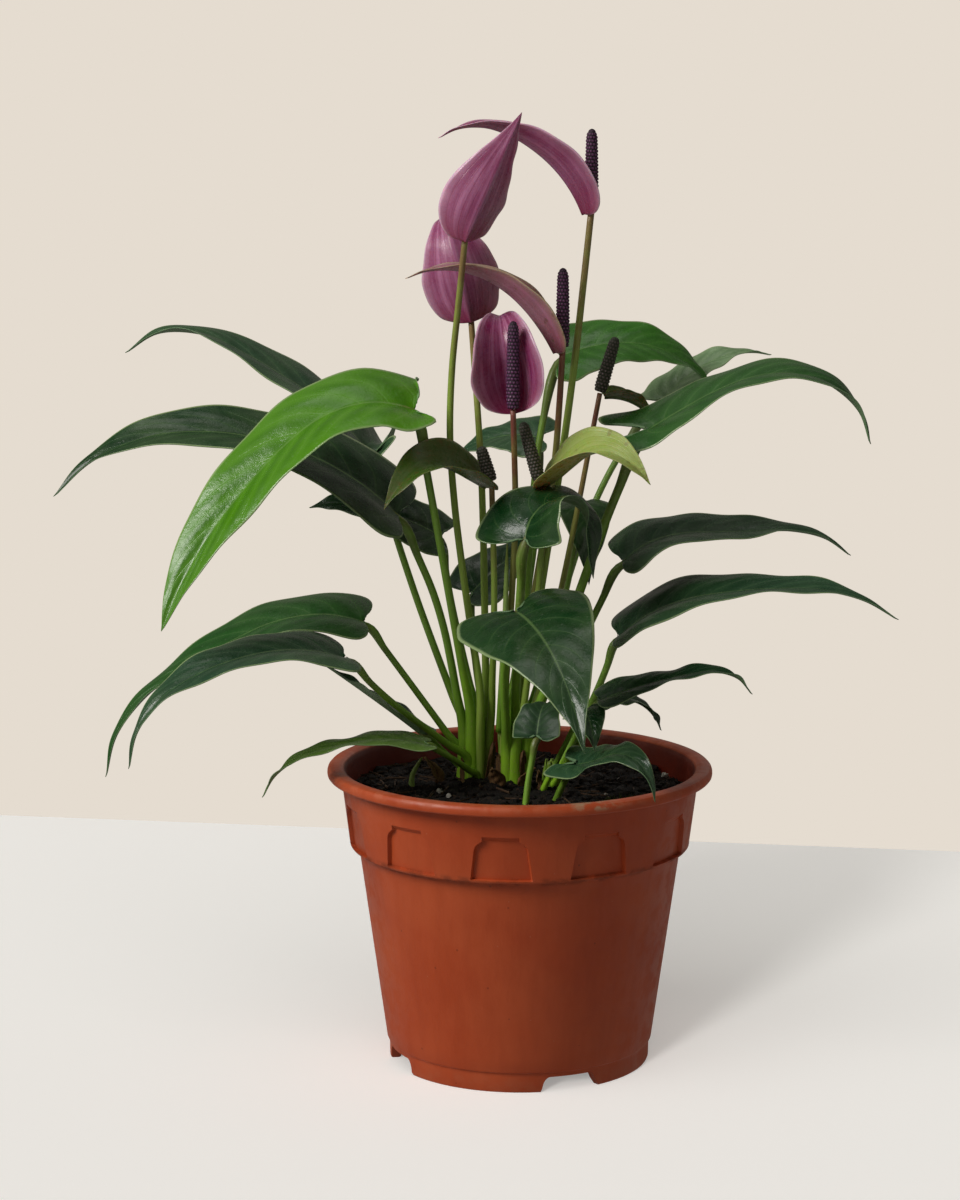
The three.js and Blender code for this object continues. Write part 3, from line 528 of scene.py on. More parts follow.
def grow_tuft(node, look, skins):
    """One crown: the flared sheaths at the foot of the stalks, green inside and papery brown outside."""
    low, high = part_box(node)
    rng = seeded(node)
    middle = np.array([(low.x + high.x) / 2, (low.y + high.y) / 2])
    reach = (high.x - low.x) / 2
    parts = []
    for k in range(look.sheaths):
        turn = 2 * math.pi * (k + rng.uniform(-0.3, 0.3)) / look.sheaths + 0.6 * (k % 3)
        papery = k % 3 == 2
        tall = (high.z - SOIL_TOP) * rng.uniform(0.55, 1.1) * (0.62 if papery else 1.0)
        broad = reach * rng.uniform(0.7, 1.0)
        lean = rng.uniform(0.1, 0.42) if papery else rng.uniform(-0.12, 0.16)
        ring = reach * (1.3 if papery else rng.uniform(0.3, 0.9))
        rows, columns = 14, 8
        share = np.linspace(0, 1, rows + 1)[:, None]
        side = np.linspace(-1, 1, columns + 1)[None, :]
        width = broad * (1 - share**1.6) ** 0.6 + 0.0002
        swing = side * width / (ring + reach * 0.9) * 1.1
        bulge = ring * (1 - 0.35 * share) + lean * tall * share**1.7
        crease = 0.35 * MM * np.sin(9 * side + 6 * share + k) * (1.6 if papery else 0.5)
        radius = bulge + crease + 0.12 * width * np.cos(side * 2)
        angle = turn + swing + 0.25 * share * rng.uniform(-1, 1)
        fray = (0.0012 * np.sin(13 * side + k) * share**3) if papery else 0 * side
        table = np.stack([middle[0] + radius * np.cos(angle), middle[1] + radius * np.sin(angle),
                          SOIL_TOP - SHEATH_ROOT + (tall + SHEATH_ROOT) * share + fray + 0 * side], axis=2)
        sheet = woven(f"sheath_{k}", table, closed=False)
        sheet.data.materials.append(skins["papery" if papery else "sheath"])
        applied(sheet, "SOLIDIFY", thickness=(0.25 if papery else 0.9) * MM, offset=0)
        parts.append(sheet)
    turn = np.linspace(0, 2 * math.pi, 25)
    core = [(0, 1.0), (0.3, 0.95), (0.6, 0.8), (0.85, 0.55), (0.97, 0.25)]
    inner = reach * 0.62
    table = np.stack([np.stack([
        middle[0] + inner * r * np.cos(turn), middle[1] + inner * r * np.sin(turn),
        np.full_like(turn, SOIL_TOP - SHEATH_ROOT + (high.z - SOIL_TOP) * 0.8 * s)], axis=1)
        for s, r in [(0, 0.0), *core, (1.0, 0.0)]])
    stump = woven("stump", table)
    stump.data.materials.append(skins["sheath"])
    return joined(node + "_sheaths", [*parts, stump])


def grow_scale(node, look, skin):
    """One dry scale leaf: a papery curled scrap."""
    rings, _, tip = node_rings(node, np.array([AXIS.x, AXIS.y, SOIL_TOP - 0.02]))
    table = blade_table(middle_rows(rings, tip), SCALE_COLUMNS, SCALE_ROWS)
    rng = seeded(node)
    first = rng.uniform(0, 6)
    side = np.linspace(-1, 1, SCALE_COLUMNS + 1)[None, :]
    share = np.linspace(0, 1, SCALE_ROWS + 1)[:, None]
    crumple = (0.3 * MM * np.sin(7 * side + 4 * share + first)
               + 0.22 * MM * np.sin(17 * share - 5 * side + first))
    table = table + table_normals(table) * crumple[:, :, None]
    sheet = woven(node + "_grown", table, closed=False)
    sheet.data.materials.append(skin)
    applied(sheet, "SOLIDIFY", thickness=0.3 * MM, offset=0)
    return sheet


def grow_shoot(node, skin):
    """One rolled young shoot, drawn out to a point."""
    rings, foot, tip = node_rings(node, np.array([AXIS.x, AXIS.y, -1.0]))
    centres, radii = ring_sizes(rings)
    centres = np.concatenate([foot[None], centres, tip[None]])
    radii = np.concatenate([radii[:1], radii, radii[-1:] * 0.35])
    return stalk(node + "_grown", centres, radii, skin, sides=16, steps=36)


# ---------------------------------------------------------------- pot

def window_half(z, look):
    """Half the width of a window's opening at a height, and 0 above and below the windows."""
    low, high = look.window_foot, look.window_top
    share = np.clip((z - low) / (high - look.window_chamfer - low), 0, 1)
    above = look.window_top_width / 2 + look.window_chamfer * 0.55
    half = look.window_foot_width / 2 * (1 - share) + above * share
    corner = np.clip((z - (high - look.window_chamfer)) / look.window_chamfer, 0, 1)
    return half - look.window_chamfer * 0.75 * (1 - np.sqrt(1 - 0.98 * corner**2))


def mould_pot(look, skins):
    """The pot: body, collar with its windows, rolled rim, floor and the foot ring with its notches."""
    wall, floor = look.wall, look.floor
    r_body, r_under, r_step, r_top = look.body_foot, look.body_top, look.collar_foot, look.collar_top
    rim = RIM_RADIUS
    z_step, z_rim = look.collar_z, POT_HEIGHT - look.rim_depth
    f = look.foot_radius
    edge = 0.15 * MM
    outside = [
        (0, floor), (18 * MM, floor), (30 * MM, floor), (f - 5.2 * MM, floor), (f - 4.3 * MM, floor - 0.1 * MM),
        (f - 4 * MM, floor - 0.6 * MM), (f - 4 * MM, look.notch_height + 0.3 * MM), (f - 4 * MM, 0.5 * MM),
        (f - 3.6 * MM, 0.1 * MM), (f - 3.2 * MM, 0), (f - 0.9 * MM, 0), (f - 0.3 * MM, 0.2 * MM), (f, 0.9 * MM),
        (f + 0.1 * MM, look.notch_height + 0.3 * MM), (f + 0.15 * MM, floor - 0.7 * MM),
        (f + 0.4 * MM, floor - 0.15 * MM), (r_body - 0.2 * MM, floor + 0.1 * MM),
        (r_body + 0.1 * MM, floor + 0.8 * MM),
    ]
    body = [(r_body + 0.1 * MM + (r_under - r_body) * t, floor + 0.8 * MM + (z_step - floor - 2.6 * MM) * t)
            for t in np.linspace(0, 1, 14)[1:]]
    step = [(r_under + 0.5 * MM, z_step - 0.75 * MM), (r_step - 1.0 * MM, z_step - 0.35 * MM),
            (r_step - 0.3 * MM, z_step - 0.15 * MM), (r_step, z_step + 0.25 * MM)]
    low, high = look.window_foot, look.window_top
    heights = [low - edge, low + edge, *np.linspace(low + 1 * MM, high - look.window_chamfer, 7),
               *np.linspace(high - look.window_chamfer + 1 * MM, high - edge, 4), high + edge,
               high + 2 * MM, high + 5 * MM, z_rim - 1.6 * MM, z_rim - 0.5 * MM]
    collar = [(r_step + (r_top - r_step) * (z - z_step) / (z_rim - z_step), z) for z in heights]
    lip = [(r_top + 0.35 * MM, z_rim - 0.1 * MM), (r_top + 1.0 * MM, z_rim),
           (rim - 1.4 * MM, z_rim - 0.02 * MM),
           (rim - 0.5 * MM, z_rim + 0.12 * MM), (rim - 0.12 * MM, z_rim + 0.6 * MM), (rim, z_rim + 1.3 * MM),
           (rim - 0.05 * MM, z_rim + 2.2 * MM), (rim - 0.3 * MM, z_rim + 3.0 * MM),
           (rim - 0.9 * MM, z_rim + 3.65 * MM), (rim - 1.8 * MM, POT_HEIGHT - 0.05 * MM),
           (rim - 2.6 * MM, POT_HEIGHT), (r_top + 1.0 * MM, POT_HEIGHT),
           (r_top + 0.1 * MM, POT_HEIGHT - 0.15 * MM), (r_top - 0.9 * MM, POT_HEIGHT - 0.7 * MM),
           (r_top - 1.6 * MM, POT_HEIGHT - 1.8 * MM), (r_top - wall, POT_HEIGHT - 3.2 * MM)]
    inside = [(r_top - wall + (r_step - 3 * MM - r_top + wall) * t, POT_HEIGHT - 3.2 * MM
               + (z_step + 4 * MM - POT_HEIGHT + 3.2 * MM) * t) for t in np.linspace(0, 1, 9)[1:]]
    below = [(r_under - wall, z_step - 4 * MM), (r_body, floor + 12 * MM),
             (r_body - 1.4 * MM, floor + wall), (30 * MM, floor + wall), (0, floor + wall)]
    profile = outside + body + step + collar + lip + inside + below
    first = len(outside) + len(body) + len(step) + 1
    last = first + 12
    sector = 2 * math.pi / look.windows
    shares = np.concatenate([np.linspace(0, 0.96, 8), [1.0, WINDOW_SIDE], np.linspace(1.2, 2, 6)])
    half_sector = np.concatenate([-shares[:0:-1], shares])[:-1]
    table = []
    for row, (radius, z) in enumerate(profile):
        half = window_half(np.clip(z, low, high), look) / max(radius, r_body)
        inner = np.abs(half_sector)
        past = (inner - WINDOW_SIDE) / (2 - WINDOW_SIDE)
        beyond = half * WINDOW_SIDE + past * (sector / 2 - half * WINDOW_SIDE)
        angle = np.where(inner > WINDOW_SIDE, beyond, inner * half) * np.sign(half_sector)
        recess = np.where((inner <= 1.0) & (first <= row <= last), look.window_depth, 0)
        ring = []
        for k in range(look.windows):
            centre = -math.pi / 2 + look.window_turn + k * sector
            ring.extend(zip(centre + angle, radius - recess))
        ring.append(ring[0])
        bearings = np.array([b for b, _ in ring])
        radii = np.array([r for _, r in ring])
        rise = np.full_like(radii, z)
        if 5 < row < len(outside) - 3:
            spacing = 2 * math.pi / look.notches
            off = (bearings + math.pi / 2 - look.notch_turn + spacing / 2) % spacing - spacing / 2
            from_edge = look.notch_width / 2 - np.abs(off) * f
            corner = np.clip(1 - from_edge / look.notch_corner, 0, 1)
            roof = look.notch_height * np.sqrt(1 - corner**2)
            rise = np.where(from_edge > 0, np.maximum(rise, roof), rise)
        table.append(np.stack([AXIS.x + radii * np.cos(bearings), AXIS.y + radii * np.sin(bearings), rise],
                              axis=1))
    pot = woven("pot_moulded", np.array(table))
    for skin in skins:
        pot.data.materials.append(skin)
    for k in range(look.notches):
        turn = -math.pi / 2 + look.notch_turn + k * 2 * math.pi / look.notches
        deselect()
        bpy.ops.mesh.primitive_cylinder_add(
            vertices=32, radius=look.drain_radius, depth=8 * wall,
            location=(AXIS.x + look.drain_circle * math.cos(turn),
                      AXIS.y + look.drain_circle * math.sin(turn), floor))
        drill = bpy.context.object
        applied(pot, "BOOLEAN", operation="DIFFERENCE", object=drill, solver="EXACT")
        bpy.data.objects.remove(drill)
    activate(pot)
    bpy.ops.object.shade_smooth_by_angle(angle=CREASE_ANGLE)
    return pot


# ---------------------------------------------------------------- soil

def soil_height(x, y):
    """The height of the soil at a place: low mounds, and a rise round the plant's foot."""
    here = Vector((x * 60, y * 60, 3.1))
    fine = Vector((x * 260, y * 260, 7.7))
    mound = 1.7 * math.exp(-((x - AXIS.x) ** 2 + (y - AXIS.y - 0.008) ** 2) / 0.03**2)
    return SOIL_TOP + MM * (1.8 * noise.noise(here) + 1.1 * noise.noise(fine) + mound)


def lay_soil(look, skin):
    """The soil's surface, with its body below it."""
    radius = look.collar_top - look.wall - 1.2 * MM
    turn = np.linspace(0, 2 * math.pi, 193)
    table = []
    for share in np.linspace(0, 1, 60):
        r = radius * share**0.8
        ring = [(AXIS.x + r * math.cos(t), AXIS.y + r * math.sin(t)) for t in turn]
        table.append([(x, y, soil_height(x, y)) for x, y in ring])
    body = ((radius - 1 * MM, 94 * MM), (look.body_top - 3.4 * MM, 78 * MM),
            (look.body_foot - 2.6 * MM, 12 * MM), (0, 11.5 * MM))
    for r, z in body:
        table.append([(AXIS.x + r * math.cos(t), AXIS.y + r * math.sin(t), z) for t in turn])
    soil = woven("soil_surface", np.array(table)[::-1])
    soil.data.materials.append(skin)
    return soil


def crumb(name, level):
    deselect()
    bpy.ops.mesh.primitive_ico_sphere_add(subdivisions=level, radius=1)
    piece = bpy.context.object
    piece.name = name
    rng = seeded(name)
    for v in piece.data.vertices:
        v.co *= rng.uniform(0.72, 1.12)
    return piece


def scatter(name, pattern, places, skin):
    """Copies of a shape, each put in its place with its own mesh, and joined."""
    points, faces = [], []
    corners = np.array([v.co[:] for v in pattern.data.vertices])
    shapes = [tuple(p.vertices) for p in pattern.data.polygons]
    for place in places:
        start = len(points)
        turned = np.array(place) @ np.concatenate([corners.T, np.ones((1, len(corners)))])
        points.extend(turned[:3].T.tolist())
        faces.extend(tuple(start + v for v in face) for face in shapes)
    bpy.data.objects.remove(pattern)
    mesh = bpy.data.meshes.new(name)
    mesh.from_pydata(points, [], faces)
    piece = bpy.data.objects.new(name, mesh)
    bpy.context.collection.objects.link(piece)
    mesh.materials.append(skin)
    tidy_mesh(piece, True)
    return piece


def strewn(rng, radius, count, sizes, flat, spread=0.5, around=None, sink=0.2):
    """Places on the soil for loose bits, each with its turn and its size."""
    places = []
    while len(places) < count:
        r, t = radius * rng.random() ** spread, rng.uniform(0, 2 * math.pi)
        x, y = (AXIS.x, AXIS.y) if around is None else around
        x, y = x + r * math.cos(t), y + r * math.sin(t)
        if math.hypot(x - AXIS.x, y - AXIS.y) > 65.8 * MM:
            continue
        size = rng.uniform(*sizes)
        stretch = Matrix.Diagonal((size * rng.uniform(0.7, 1.5), size, size * flat, 1))
        turn = Matrix.Rotation(rng.uniform(0, 6.28), 4, "Z") @ Matrix.Rotation(rng.uniform(-0.6, 0.6), 4, "X")
        z = soil_height(x, y) + size * flat * (1 - 2 * sink) * 0.6
        places.append(Matrix.Translation((x, y, z)) @ turn @ stretch)
    return places


# ---------------------------------------------------------------- finishes

def put(tree, kind, inputs=None, **settings):
    """A new node with these settings, whose inputs are values or other nodes' outputs."""
    node = tree.nodes.new(kind)
    for key, value in settings.items():
        setattr(node, key, value)
    for key, value in (inputs or {}).items():
        if isinstance(value, bpy.types.NodeSocket):
            tree.links.new(value, node.inputs[key])
        else:
            node.inputs[key].default_value = value
    return node


def calc(tree, operation, *values, clamp=False):
    return put(tree, "ShaderNodeMath", dict(enumerate(values)), operation=operation, use_clamp=clamp).outputs[0]


def ramp(tree, value, low, high, to_low=0.0, to_high=1.0):
    """The value taken smoothly from one range to another."""
    return put(tree, "ShaderNodeMapRange", {0: value, 1: low, 2: high, 3: to_low, 4: to_high},
               interpolation_type="SMOOTHSTEP").outputs[0]


def blend_colour(tree, share, first, second, how="MIX"):
    four = [c if isinstance(c, bpy.types.NodeSocket) else (*c[:3], 1) for c in (first, second)]
    return put(tree, "ShaderNodeMix", {0: share, 6: four[0], 7: four[1]}, data_type="RGBA",
               blend_type=how).outputs[2]


def speckle(tree, place, scale, detail=4.0, rough=0.55):
    return put(tree, "ShaderNodeTexNoise", {"Vector": place, "Scale": scale, "Detail": detail,
                                            "Roughness": rough}).outputs[0]


def effect(name, ins, outs):
    """A new node group with named inputs and outputs; gives its tree, its inputs and its outputs."""
    tree = bpy.data.node_groups.new(name, "ShaderNodeTree")
    for label, kind, value in ins:
        socket = tree.interface.new_socket(label, in_out="INPUT", socket_type="NodeSocket" + kind)
        if value is not None:
            socket.default_value = value
    for label, kind in outs:
        tree.interface.new_socket(label, in_out="OUTPUT", socket_type="NodeSocket" + kind)
    return tree, put(tree, "NodeGroupInput").outputs, put(tree, "NodeGroupOutput").inputs


def use(tree, name, **inputs):
    """One of the shared effects placed in a material; its inputs' names have spaces for underscores."""
    if name not in bpy.data.node_groups:
        EFFECTS[name]()
    node = put(tree, "ShaderNodeGroup", node_tree=bpy.data.node_groups[name])
    for key, value in inputs.items():
        label = key.replace("_", " ")
        if isinstance(value, bpy.types.NodeSocket):
            tree.links.new(value, node.inputs[label])
        else:
            node.inputs[label].default_value = value
    return node.outputs


def vein_effect():
    """Where a leaf's side veins, midrib and margin are, from the place across and along the blade."""
    tree, given, result = effect(
        "Leaf Veins", [("Place", "Vector", None), ("Count", "Float", 9.0), ("Slant", "Float", 0.2)],
        [("Veins", "Float"), ("Fields", "Float"), ("Midrib", "Float"), ("Margin", "Float"), ("Out", "Float")])
    split = put(tree, "ShaderNodeSeparateXYZ", {0: given["Place"]}).outputs
    out = calc(tree, "ABSOLUTE", calc(tree, "MULTIPLY_ADD", split[0], 2.0, -1.0))
    bent = calc(tree, "MULTIPLY", calc(tree, "POWER", out, 1.15), given["Slant"])
    phase = calc(tree, "MULTIPLY", calc(tree, "SUBTRACT", split[1], bent), given["Count"])
    near = calc(tree, "PINGPONG", phase, 0.5)
    thin = ramp(tree, near, 0.01, 0.07, 1.0, 0.0)
    fade = ramp(tree, out, 0.55, 0.95, 1.0, 0.0)
    tree.links.new(calc(tree, "MULTIPLY", thin, fade), result["Veins"])
    # Fields marks the bands between the side veins; the upper leaf face darkens them as painted shade.
    tree.links.new(calc(tree, "MULTIPLY", ramp(tree, near, 0.0, 0.5), fade), result["Fields"])
    narrow = calc(tree, "MULTIPLY_ADD", split[1], -0.6, 1.0)
    tree.links.new(calc(tree, "MULTIPLY", ramp(tree, out, 0.008, 0.035, 1.0, 0.0), narrow), result["Midrib"])
    tree.links.new(ramp(tree, out, 0.93, 0.985), result["Margin"])
    tree.links.new(out, result["Out"])


def mottle_effect():
    """Cloudy patches, finer blotches and a fine grain, each from 0 to 1."""
    tree, given, result = effect(
        "Mottle", [("Vector", "Vector", None), ("Scale", "Float", 60.0)],
        [("Cloud", "Float"), ("Blotch", "Float"), ("Grain", "Float")])
    cloud = speckle(tree, given["Vector"], given["Scale"], 3.0)
    blotch = speckle(tree, given["Vector"], calc(tree, "MULTIPLY", given["Scale"], 5.0), 5.0, 0.6)
    grain = speckle(tree, given["Vector"], calc(tree, "MULTIPLY", given["Scale"], 40.0), 3.0)
    tree.links.new(ramp(tree, cloud, 0.32, 0.68), result["Cloud"])
    tree.links.new(ramp(tree, blotch, 0.35, 0.7), result["Blotch"])
    tree.links.new(grain, result["Grain"])


def streak_effect():
    """Lengthwise streaks and fine lines, from the place across and along a blade or round a stalk."""
    tree, given, result = effect(
        "Lengthwise Streaks", [("Place", "Vector", None), ("Count", "Float", 14.0), ("Stretch", "Float", 1.6)],
        [("Streaks", "Float"), ("Lines", "Float")])
    split = put(tree, "ShaderNodeSeparateXYZ", {0: given["Place"]}).outputs
    wide = calc(tree, "MULTIPLY", split[0], given["Count"])
    long = calc(tree, "MULTIPLY", split[1], given["Stretch"])
    place = put(tree, "ShaderNodeCombineXYZ", {0: wide, 1: long}).outputs[0]
    tree.links.new(ramp(tree, speckle(tree, place, 1.0, 4.0, 0.6), 0.42, 0.68), result["Streaks"])
    wobble = calc(tree, "MULTIPLY_ADD", speckle(tree, place, 0.7, 2.0), 0.5, wide)
    tree.links.new(ramp(tree, calc(tree, "PINGPONG", wobble, 0.5), 0.0, 0.12, 1.0, 0.0), result["Lines"])


def fleck_effect():
    """Small scattered flecks, such as dust, dirt or spots: a mask from 0 to 1."""
    tree, given, result = effect(
        "Flecks", [("Vector", "Vector", None), ("Scale", "Float", 400.0), ("Size", "Float", 0.16)],
        [("Mask", "Float")])
    cells = put(tree, "ShaderNodeTexVoronoi", {"Vector": given["Vector"], "Scale": given["Scale"]})
    lot = put(tree, "ShaderNodeSeparateColor", {0: cells.outputs["Color"]}).outputs[0]
    chosen = calc(tree, "GREATER_THAN", lot, 0.72)
    edge = calc(tree, "MULTIPLY", given["Size"], 1.6)
    spot = ramp(tree, cells.outputs["Distance"], given["Size"], edge, 1.0, 0.0)
    tree.links.new(calc(tree, "MULTIPLY", spot, chosen), result["Mask"])


def band_effect():
    """A band of heights with a broken edge, for wear on a rim, dirt on a step or dust at a foot."""
    tree, given, result = effect(
        "Broken Band", [("Vector", "Vector", None), ("Height", "Float", 0.1), ("Width", "Float", 0.004),
                        ("Breakup", "Float", 160.0)], [("Mask", "Float")])
    z = put(tree, "ShaderNodeSeparateXYZ", {0: given["Vector"]}).outputs[2]
    away = calc(tree, "ABSOLUTE", calc(tree, "SUBTRACT", z, given["Height"]))
    near = ramp(tree, calc(tree, "DIVIDE", away, given["Width"]), 0.3, 1.0, 1.0, 0.0)
    broken = ramp(tree, speckle(tree, given["Vector"], given["Breakup"], 6.0, 0.65), 0.42, 0.62)
    tree.links.new(calc(tree, "MULTIPLY", near, broken), result["Mask"])


EFFECTS = {"Leaf Veins": vein_effect, "Mottle": mottle_effect, "Lengthwise Streaks": streak_effect,
           "Flecks": fleck_effect, "Broken Band": band_effect}


class Finish:
    """A new material with its shader, its Object coordinates and its UV map at hand."""

    def __init__(self, name, **shader):
        self.material = bpy.data.materials.new(name)
        self.material.use_nodes = True
        self.tree = self.material.node_tree
        self.tree.nodes.clear()
        self.shader = put(self.tree, "ShaderNodeBsdfPrincipled", shader and {
            key.replace("_", " ").title().replace("Ior", "IOR"): value for key, value in shader.items()})
        out = put(self.tree, "ShaderNodeOutputMaterial")
        self.tree.links.new(self.shader.outputs[0], out.inputs[0])
        place = put(self.tree, "ShaderNodeTexCoord").outputs
        self.here, self.uv = place["Object"], place["UV"]
        self.colour = None

    def cover(self, mask, amount, shade):
        """Lays a colour over the skin where a mask says, by no more than an amount."""
        part = calc(self.tree, "MULTIPLY", mask, amount)
        self.colour = blend_colour(self.tree, part, self.colour, shade)

    def feed(self, socket, value):
        self.tree.links.new(value, self.shader.inputs[socket])

    def relief(self, height, distance, strength=1.0):
        bump = put(self.tree, "ShaderNodeBump", {"Height": height, "Distance": distance, "Strength": strength})
        self.feed("Normal", bump.outputs[0])


def leaf_upper(name, deep, light, vein, margin, look, dullness):
    """The upper face of a leaf, glossy unless it is dulled."""
    skin = Finish(name, specular_ior_level=0.3, coat_roughness=0.16)
    tree = skin.tree
    veins = use(tree, "Leaf Veins", Place=skin.uv, Count=look.vein_count, Slant=look.vein_slant)
    mottle = use(tree, "Mottle", Vector=skin.here, Scale=34.0)
    skin.colour = blend_colour(tree, mottle["Cloud"], deep, light)
    skin.cover(mottle["Blotch"], 0.3, light)
    # Painted shade: the fields between the side veins are darkened in bands, standing in for the shading of the
    # ribbed relief.
    painted_field_shade = blend_colour(tree, 1.0, skin.colour, (0.5, 0.62, 0.5), "MULTIPLY")
    skin.cover(veins["Fields"], 0.6, painted_field_shade)
    skin.cover(veins["Veins"], 0.1, vein)
    skin.cover(veins["Midrib"], 0.5, vein)
    skin.cover(veins["Margin"], 0.9, margin)
    dust = use(tree, "Flecks", Vector=skin.here, Scale=430.0, Size=0.14)["Mask"]
    skin.cover(dust, 0.05, LEAF_DUST)
    skin.feed("Base Color", skin.colour)
    low, high = look.gloss_low + dullness, look.gloss_high + dullness
    skin.feed("Roughness", ramp(tree, mottle["Blotch"], 0.0, 1.0, low, high))
    low, high = 0.05 * (1 - dullness), 0.16 - 0.5 * dullness
    skin.feed("Coat Weight", ramp(tree, mottle["Cloud"], 0.0, 1.0, low, high))
    uneven = calc(tree, "MULTIPLY_ADD", mottle["Grain"], 0.08, calc(tree, "MULTIPLY", mottle["Blotch"], 0.7))
    skin.relief(calc(tree, "MULTIPLY_ADD", veins["Veins"], -0.3, uneven), 0.28 * MM, 0.6)
    return skin.material


def leaf_under(name, pale, deep, vein, look):
    """The dull underside of a leaf, with its veins raised."""
    skin = Finish(name, specular_ior_level=0.4)
    tree = skin.tree
    veins = use(tree, "Leaf Veins", Place=skin.uv, Count=look.vein_count, Slant=look.vein_slant)
    mottle = use(tree, "Mottle", Vector=skin.here, Scale=50.0)
    skin.colour = blend_colour(tree, mottle["Cloud"], pale, deep)
    skin.cover(mottle["Blotch"], 0.25, vein)
    skin.cover(veins["Veins"], 0.55, vein)
    skin.cover(veins["Midrib"], 0.9, vein)
    skin.feed("Base Color", skin.colour)
    skin.feed("Roughness", ramp(tree, mottle["Blotch"], 0.0, 1.0, 0.42, 0.6))
    height = calc(tree, "ADD", veins["Veins"], calc(tree, "MULTIPLY", mottle["Grain"], 0.6))
    skin.relief(height, 0.15 * MM, 0.7)
    return skin.material


def stem_finish(name, foot, middle, top, look):
    """The skin of a stalk, which changes colour from its foot to its top."""
    skin = Finish(name, specular_ior_level=0.45)
    tree = skin.tree
    along = put(tree, "ShaderNodeSeparateXYZ", {0: skin.uv}).outputs[1]
    mottle = use(tree, "Mottle", Vector=skin.here, Scale=90.0)
    streaks = use(tree, "Lengthwise Streaks", Place=skin.uv, Count=9.0, Stretch=5.0)
    uneven = calc(tree, "MULTIPLY_ADD", mottle["Cloud"], 0.16, calc(tree, "SUBTRACT", along, 0.08))
    skin.colour = blend_colour(tree, ramp(tree, uneven, 0.05, 0.45), foot, middle)
    skin.colour = blend_colour(tree, ramp(tree, uneven, 0.62, 1.0), skin.colour, top)
    darker = blend_colour(tree, 1.0, skin.colour, (0.62, 0.6, 0.55), "MULTIPLY")
    skin.cover(streaks["Streaks"], 0.4, darker)
    spots = use(tree, "Flecks", Vector=skin.here, Scale=900.0, Size=0.2)["Mask"]
    skin.cover(spots, 0.35, STALK_SPOT)
    skin.feed("Base Color", skin.colour)
    skin.feed("Roughness", ramp(tree, mottle["Blotch"], 0.0, 1.0, 0.34, 0.5))
    skin.relief(calc(tree, "ADD", streaks["Streaks"], mottle["Grain"]), 0.12 * MM, 0.5)
    return skin.material


def spathe_finish(name, face, pale, heel, margin, look, dark=None):
    """The waxy skin of a spathe, streaked lengthwise, redder at the heel and pale along the margin."""
    skin = Finish(name, specular_ior_level=0.35, coat_roughness=0.22, subsurface_weight=0.12,
                  subsurface_scale=0.002)
    tree = skin.tree
    along = put(tree, "ShaderNodeSeparateXYZ", {0: skin.uv}).outputs[1]
    veins = use(tree, "Leaf Veins", Place=skin.uv, Count=1.0, Slant=0.0)
    streaks = use(tree, "Lengthwise Streaks", Place=skin.uv, Count=11.0, Stretch=0.9)
    mottle = use(tree, "Mottle", Vector=skin.here, Scale=110.0)
    skin.colour = blend_colour(tree, calc(tree, "MULTIPLY", streaks["Streaks"], 0.7), face, pale)
    skin.cover(mottle["Cloud"], 0.16, pale)
    skin.colour = blend_colour(tree, ramp(tree, along, 0.02, 0.3, 0.6, 0.0), skin.colour, heel)
    skin.cover(streaks["Lines"], 0.16, heel)
    skin.cover(veins["Margin"], 0.8, margin)
    edge = calc(tree, "MULTIPLY", ramp(tree, veins["Out"], 0.7, 1.0), 0.35)
    skin.colour = blend_colour(tree, edge, skin.colour, margin)
    if dark:
        stains = use(tree, "Flecks", Vector=skin.here, Scale=330.0, Size=0.24)["Mask"]
        patches = calc(tree, "MULTIPLY", mottle["Blotch"], ramp(tree, along, 0.75, 1.0, 0.1, 0.9))
        skin.cover(stains, 0.4, dark)
        skin.colour = blend_colour(tree, patches, skin.colour, dark)
    skin.feed("Base Color", skin.colour)
    skin.feed("Roughness", ramp(tree, mottle["Blotch"], 0.0, 1.0, 0.26, 0.4))
    skin.feed("Coat Weight", ramp(tree, mottle["Cloud"], 0.0, 1.0, 0.2, 0.45))
    skin.relief(calc(tree, "MULTIPLY_ADD", streaks["Lines"], -0.7, mottle["Grain"]), 0.1 * MM, 0.6)
    return skin.material


def spadix_finish(name, deep, raised, speck):
    """The floret-covered skin of a spadix: dark, with a pale speck on each floret."""
    skin = Finish(name, specular_ior_level=0.4)
    tree = skin.tree
    floret = put(tree, "ShaderNodeAttribute", attribute_name="floret").outputs["Fac"]
    mottle = use(tree, "Mottle", Vector=skin.here, Scale=160.0)
    skin.colour = blend_colour(tree, ramp(tree, floret, 0.2, 0.8), deep, raised)
    picked = calc(tree, "MULTIPLY", ramp(tree, floret, 0.86, 0.97), ramp(tree, mottle["Blotch"], 0.3, 0.7))
    skin.cover(picked, 0.7, speck)
    skin.feed("Base Color", skin.colour)
    skin.feed("Roughness", ramp(tree, floret, 0.0, 1.0, 0.75, 0.42))
    skin.relief(mottle["Grain"], 0.08 * MM, 0.5)
    return skin.material


def papery_finish(name, light, dark):
    """Dry, fibrous scale leaf and sheath remains."""
    skin = Finish(name, specular_ior_level=0.3)
    tree = skin.tree
    streaks = use(tree, "Lengthwise Streaks", Place=skin.uv, Count=18.0, Stretch=2.0)
    mottle = use(tree, "Mottle", Vector=skin.here, Scale=200.0)
    skin.colour = blend_colour(tree, streaks["Streaks"], light, dark)
    skin.cover(mottle["Blotch"], 0.5, dark)
    skin.feed("Base Color", skin.colour)
    skin.feed("Roughness", ramp(tree, mottle["Cloud"], 0.0, 1.0, 0.6, 0.85))
    skin.relief(calc(tree, "ADD", streaks["Lines"], mottle["Grain"]), 0.2 * MM, 0.8)
    return skin.material


